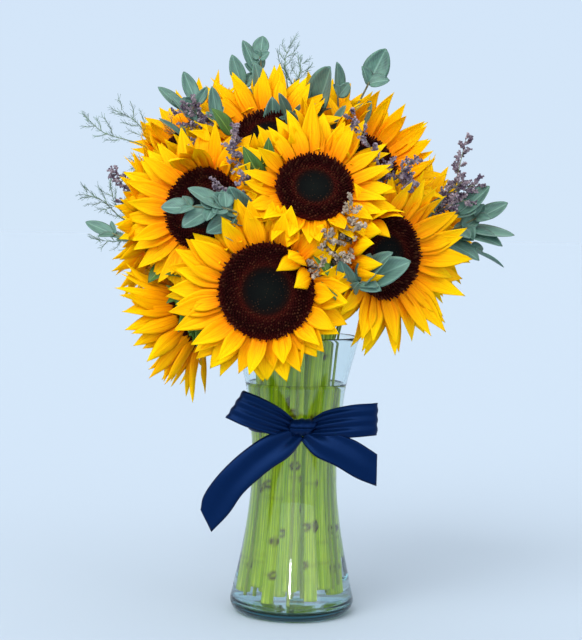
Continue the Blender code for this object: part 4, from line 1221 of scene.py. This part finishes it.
def make_ribbon():
    stock = Stock()
    ribbon_band(stock)
    for name, stations in (("loop_left", 70), ("loop_right", 76)):
        ribbon_strip(stock, BOW[name], stations, 21, 3.4, (2.0, 1.6, 0.4))
    for name, stations in (("tail_left", 56), ("tail_right", 50)):
        ribbon_strip(stock, BOW[name], stations, 15, 1.5, (1.6, 0.15, 0.6))
    ribbon_knot(stock)
    piece = settle(stock.made("satin_ribbon", [SATIN]), "satin", "ribbon")
    return piece


# ------------------------------------------------------------------ room
def make_floor():
    mesh = bpy.data.meshes.new("floor")
    mesh.from_pydata([(-FLOOR_SIZE, -FLOOR_SIZE, 0), (FLOOR_SIZE, -FLOOR_SIZE, 0),
                      (FLOOR_SIZE, FLOOR_SIZE, 0), (-FLOOR_SIZE, FLOOR_SIZE, 0)], [], [(0, 1, 2, 3)])
    pale, _, _ = new_finish("pale_floor", base_color=FLOOR_COLOUR, roughness=0.8, specular_ior_level=0.1)
    mesh.materials.append(pale)
    stand("floor", mesh)


def make_sky():
    world = bpy.data.worlds.new("pale_room")
    bpy.context.scene.world = world
    world.use_nodes = True
    tree = world.node_tree
    way = put(tree, "ShaderNodeTexCoord").outputs["Generated"]
    height = put(tree, "ShaderNodeSeparateXYZ", {0: way}).outputs[2]
    tree.links.new(ramp(tree, height, SKY).outputs[0], tree.nodes["Background"].inputs["Color"])


def make_lights():
    for name, kind, place, power, size in LIGHTS:
        light = bpy.data.lights.new(name, kind)
        light.energy = power
        if kind == "SUN":
            light.angle = size
        else:
            light.shape = "RECTANGLE"
            light.size, light.size_y = size
        lamp = stand(name, light)
        lamp.location = place
        lamp.rotation_mode = "QUATERNION"
        lamp.rotation_quaternion = (Vector(LIGHTS_AIM) - Vector(place)).to_track_quat("-Z", "Y")


def make_camera():
    lens = bpy.data.cameras.new("view")
    lens.lens, lens.sensor_width, lens.shift_x = LENS_LENGTH, SENSOR_WIDTH, LENS_SHIFT
    camera = stand("view", lens)
    camera.location = CAMERA_PLACE
    camera.rotation_mode = "QUATERNION"
    camera.rotation_quaternion = (Quaternion((1, 0, 0), math.radians(90 - CAMERA_DOWN))
                                  @ Quaternion((0, 0, 1), math.radians(CAMERA_ROLL)))
    bpy.context.scene.camera = camera
    bpy.context.scene.view_settings.view_transform = "Standard"


# ------------------------------------------------------------------ everything
make_camera()
make_floor()
make_sky()
make_lights()
make_vase()
make_water()
make_ribbon()
florets, fringe = floret_tree(), fringe_tree()
for number, (name, length, cup, first, side, more) in enumerate(FLOWERS):
    make_stem(name)
    make_disc(name, number, florets)
    make_petals(name, length, cup, first, side, more)
for name, ends in EUCALYPTUS:
    make_eucalyptus(name, ends, fringe)
for number, (name, ends) in enumerate(SEA_LAVENDER):
    make_sea_lavender(name, ends, fringe, number)
for number, (name, ends) in enumerate(FEATHERY):
    make_feathery(name, ends, fringe, number + 20)
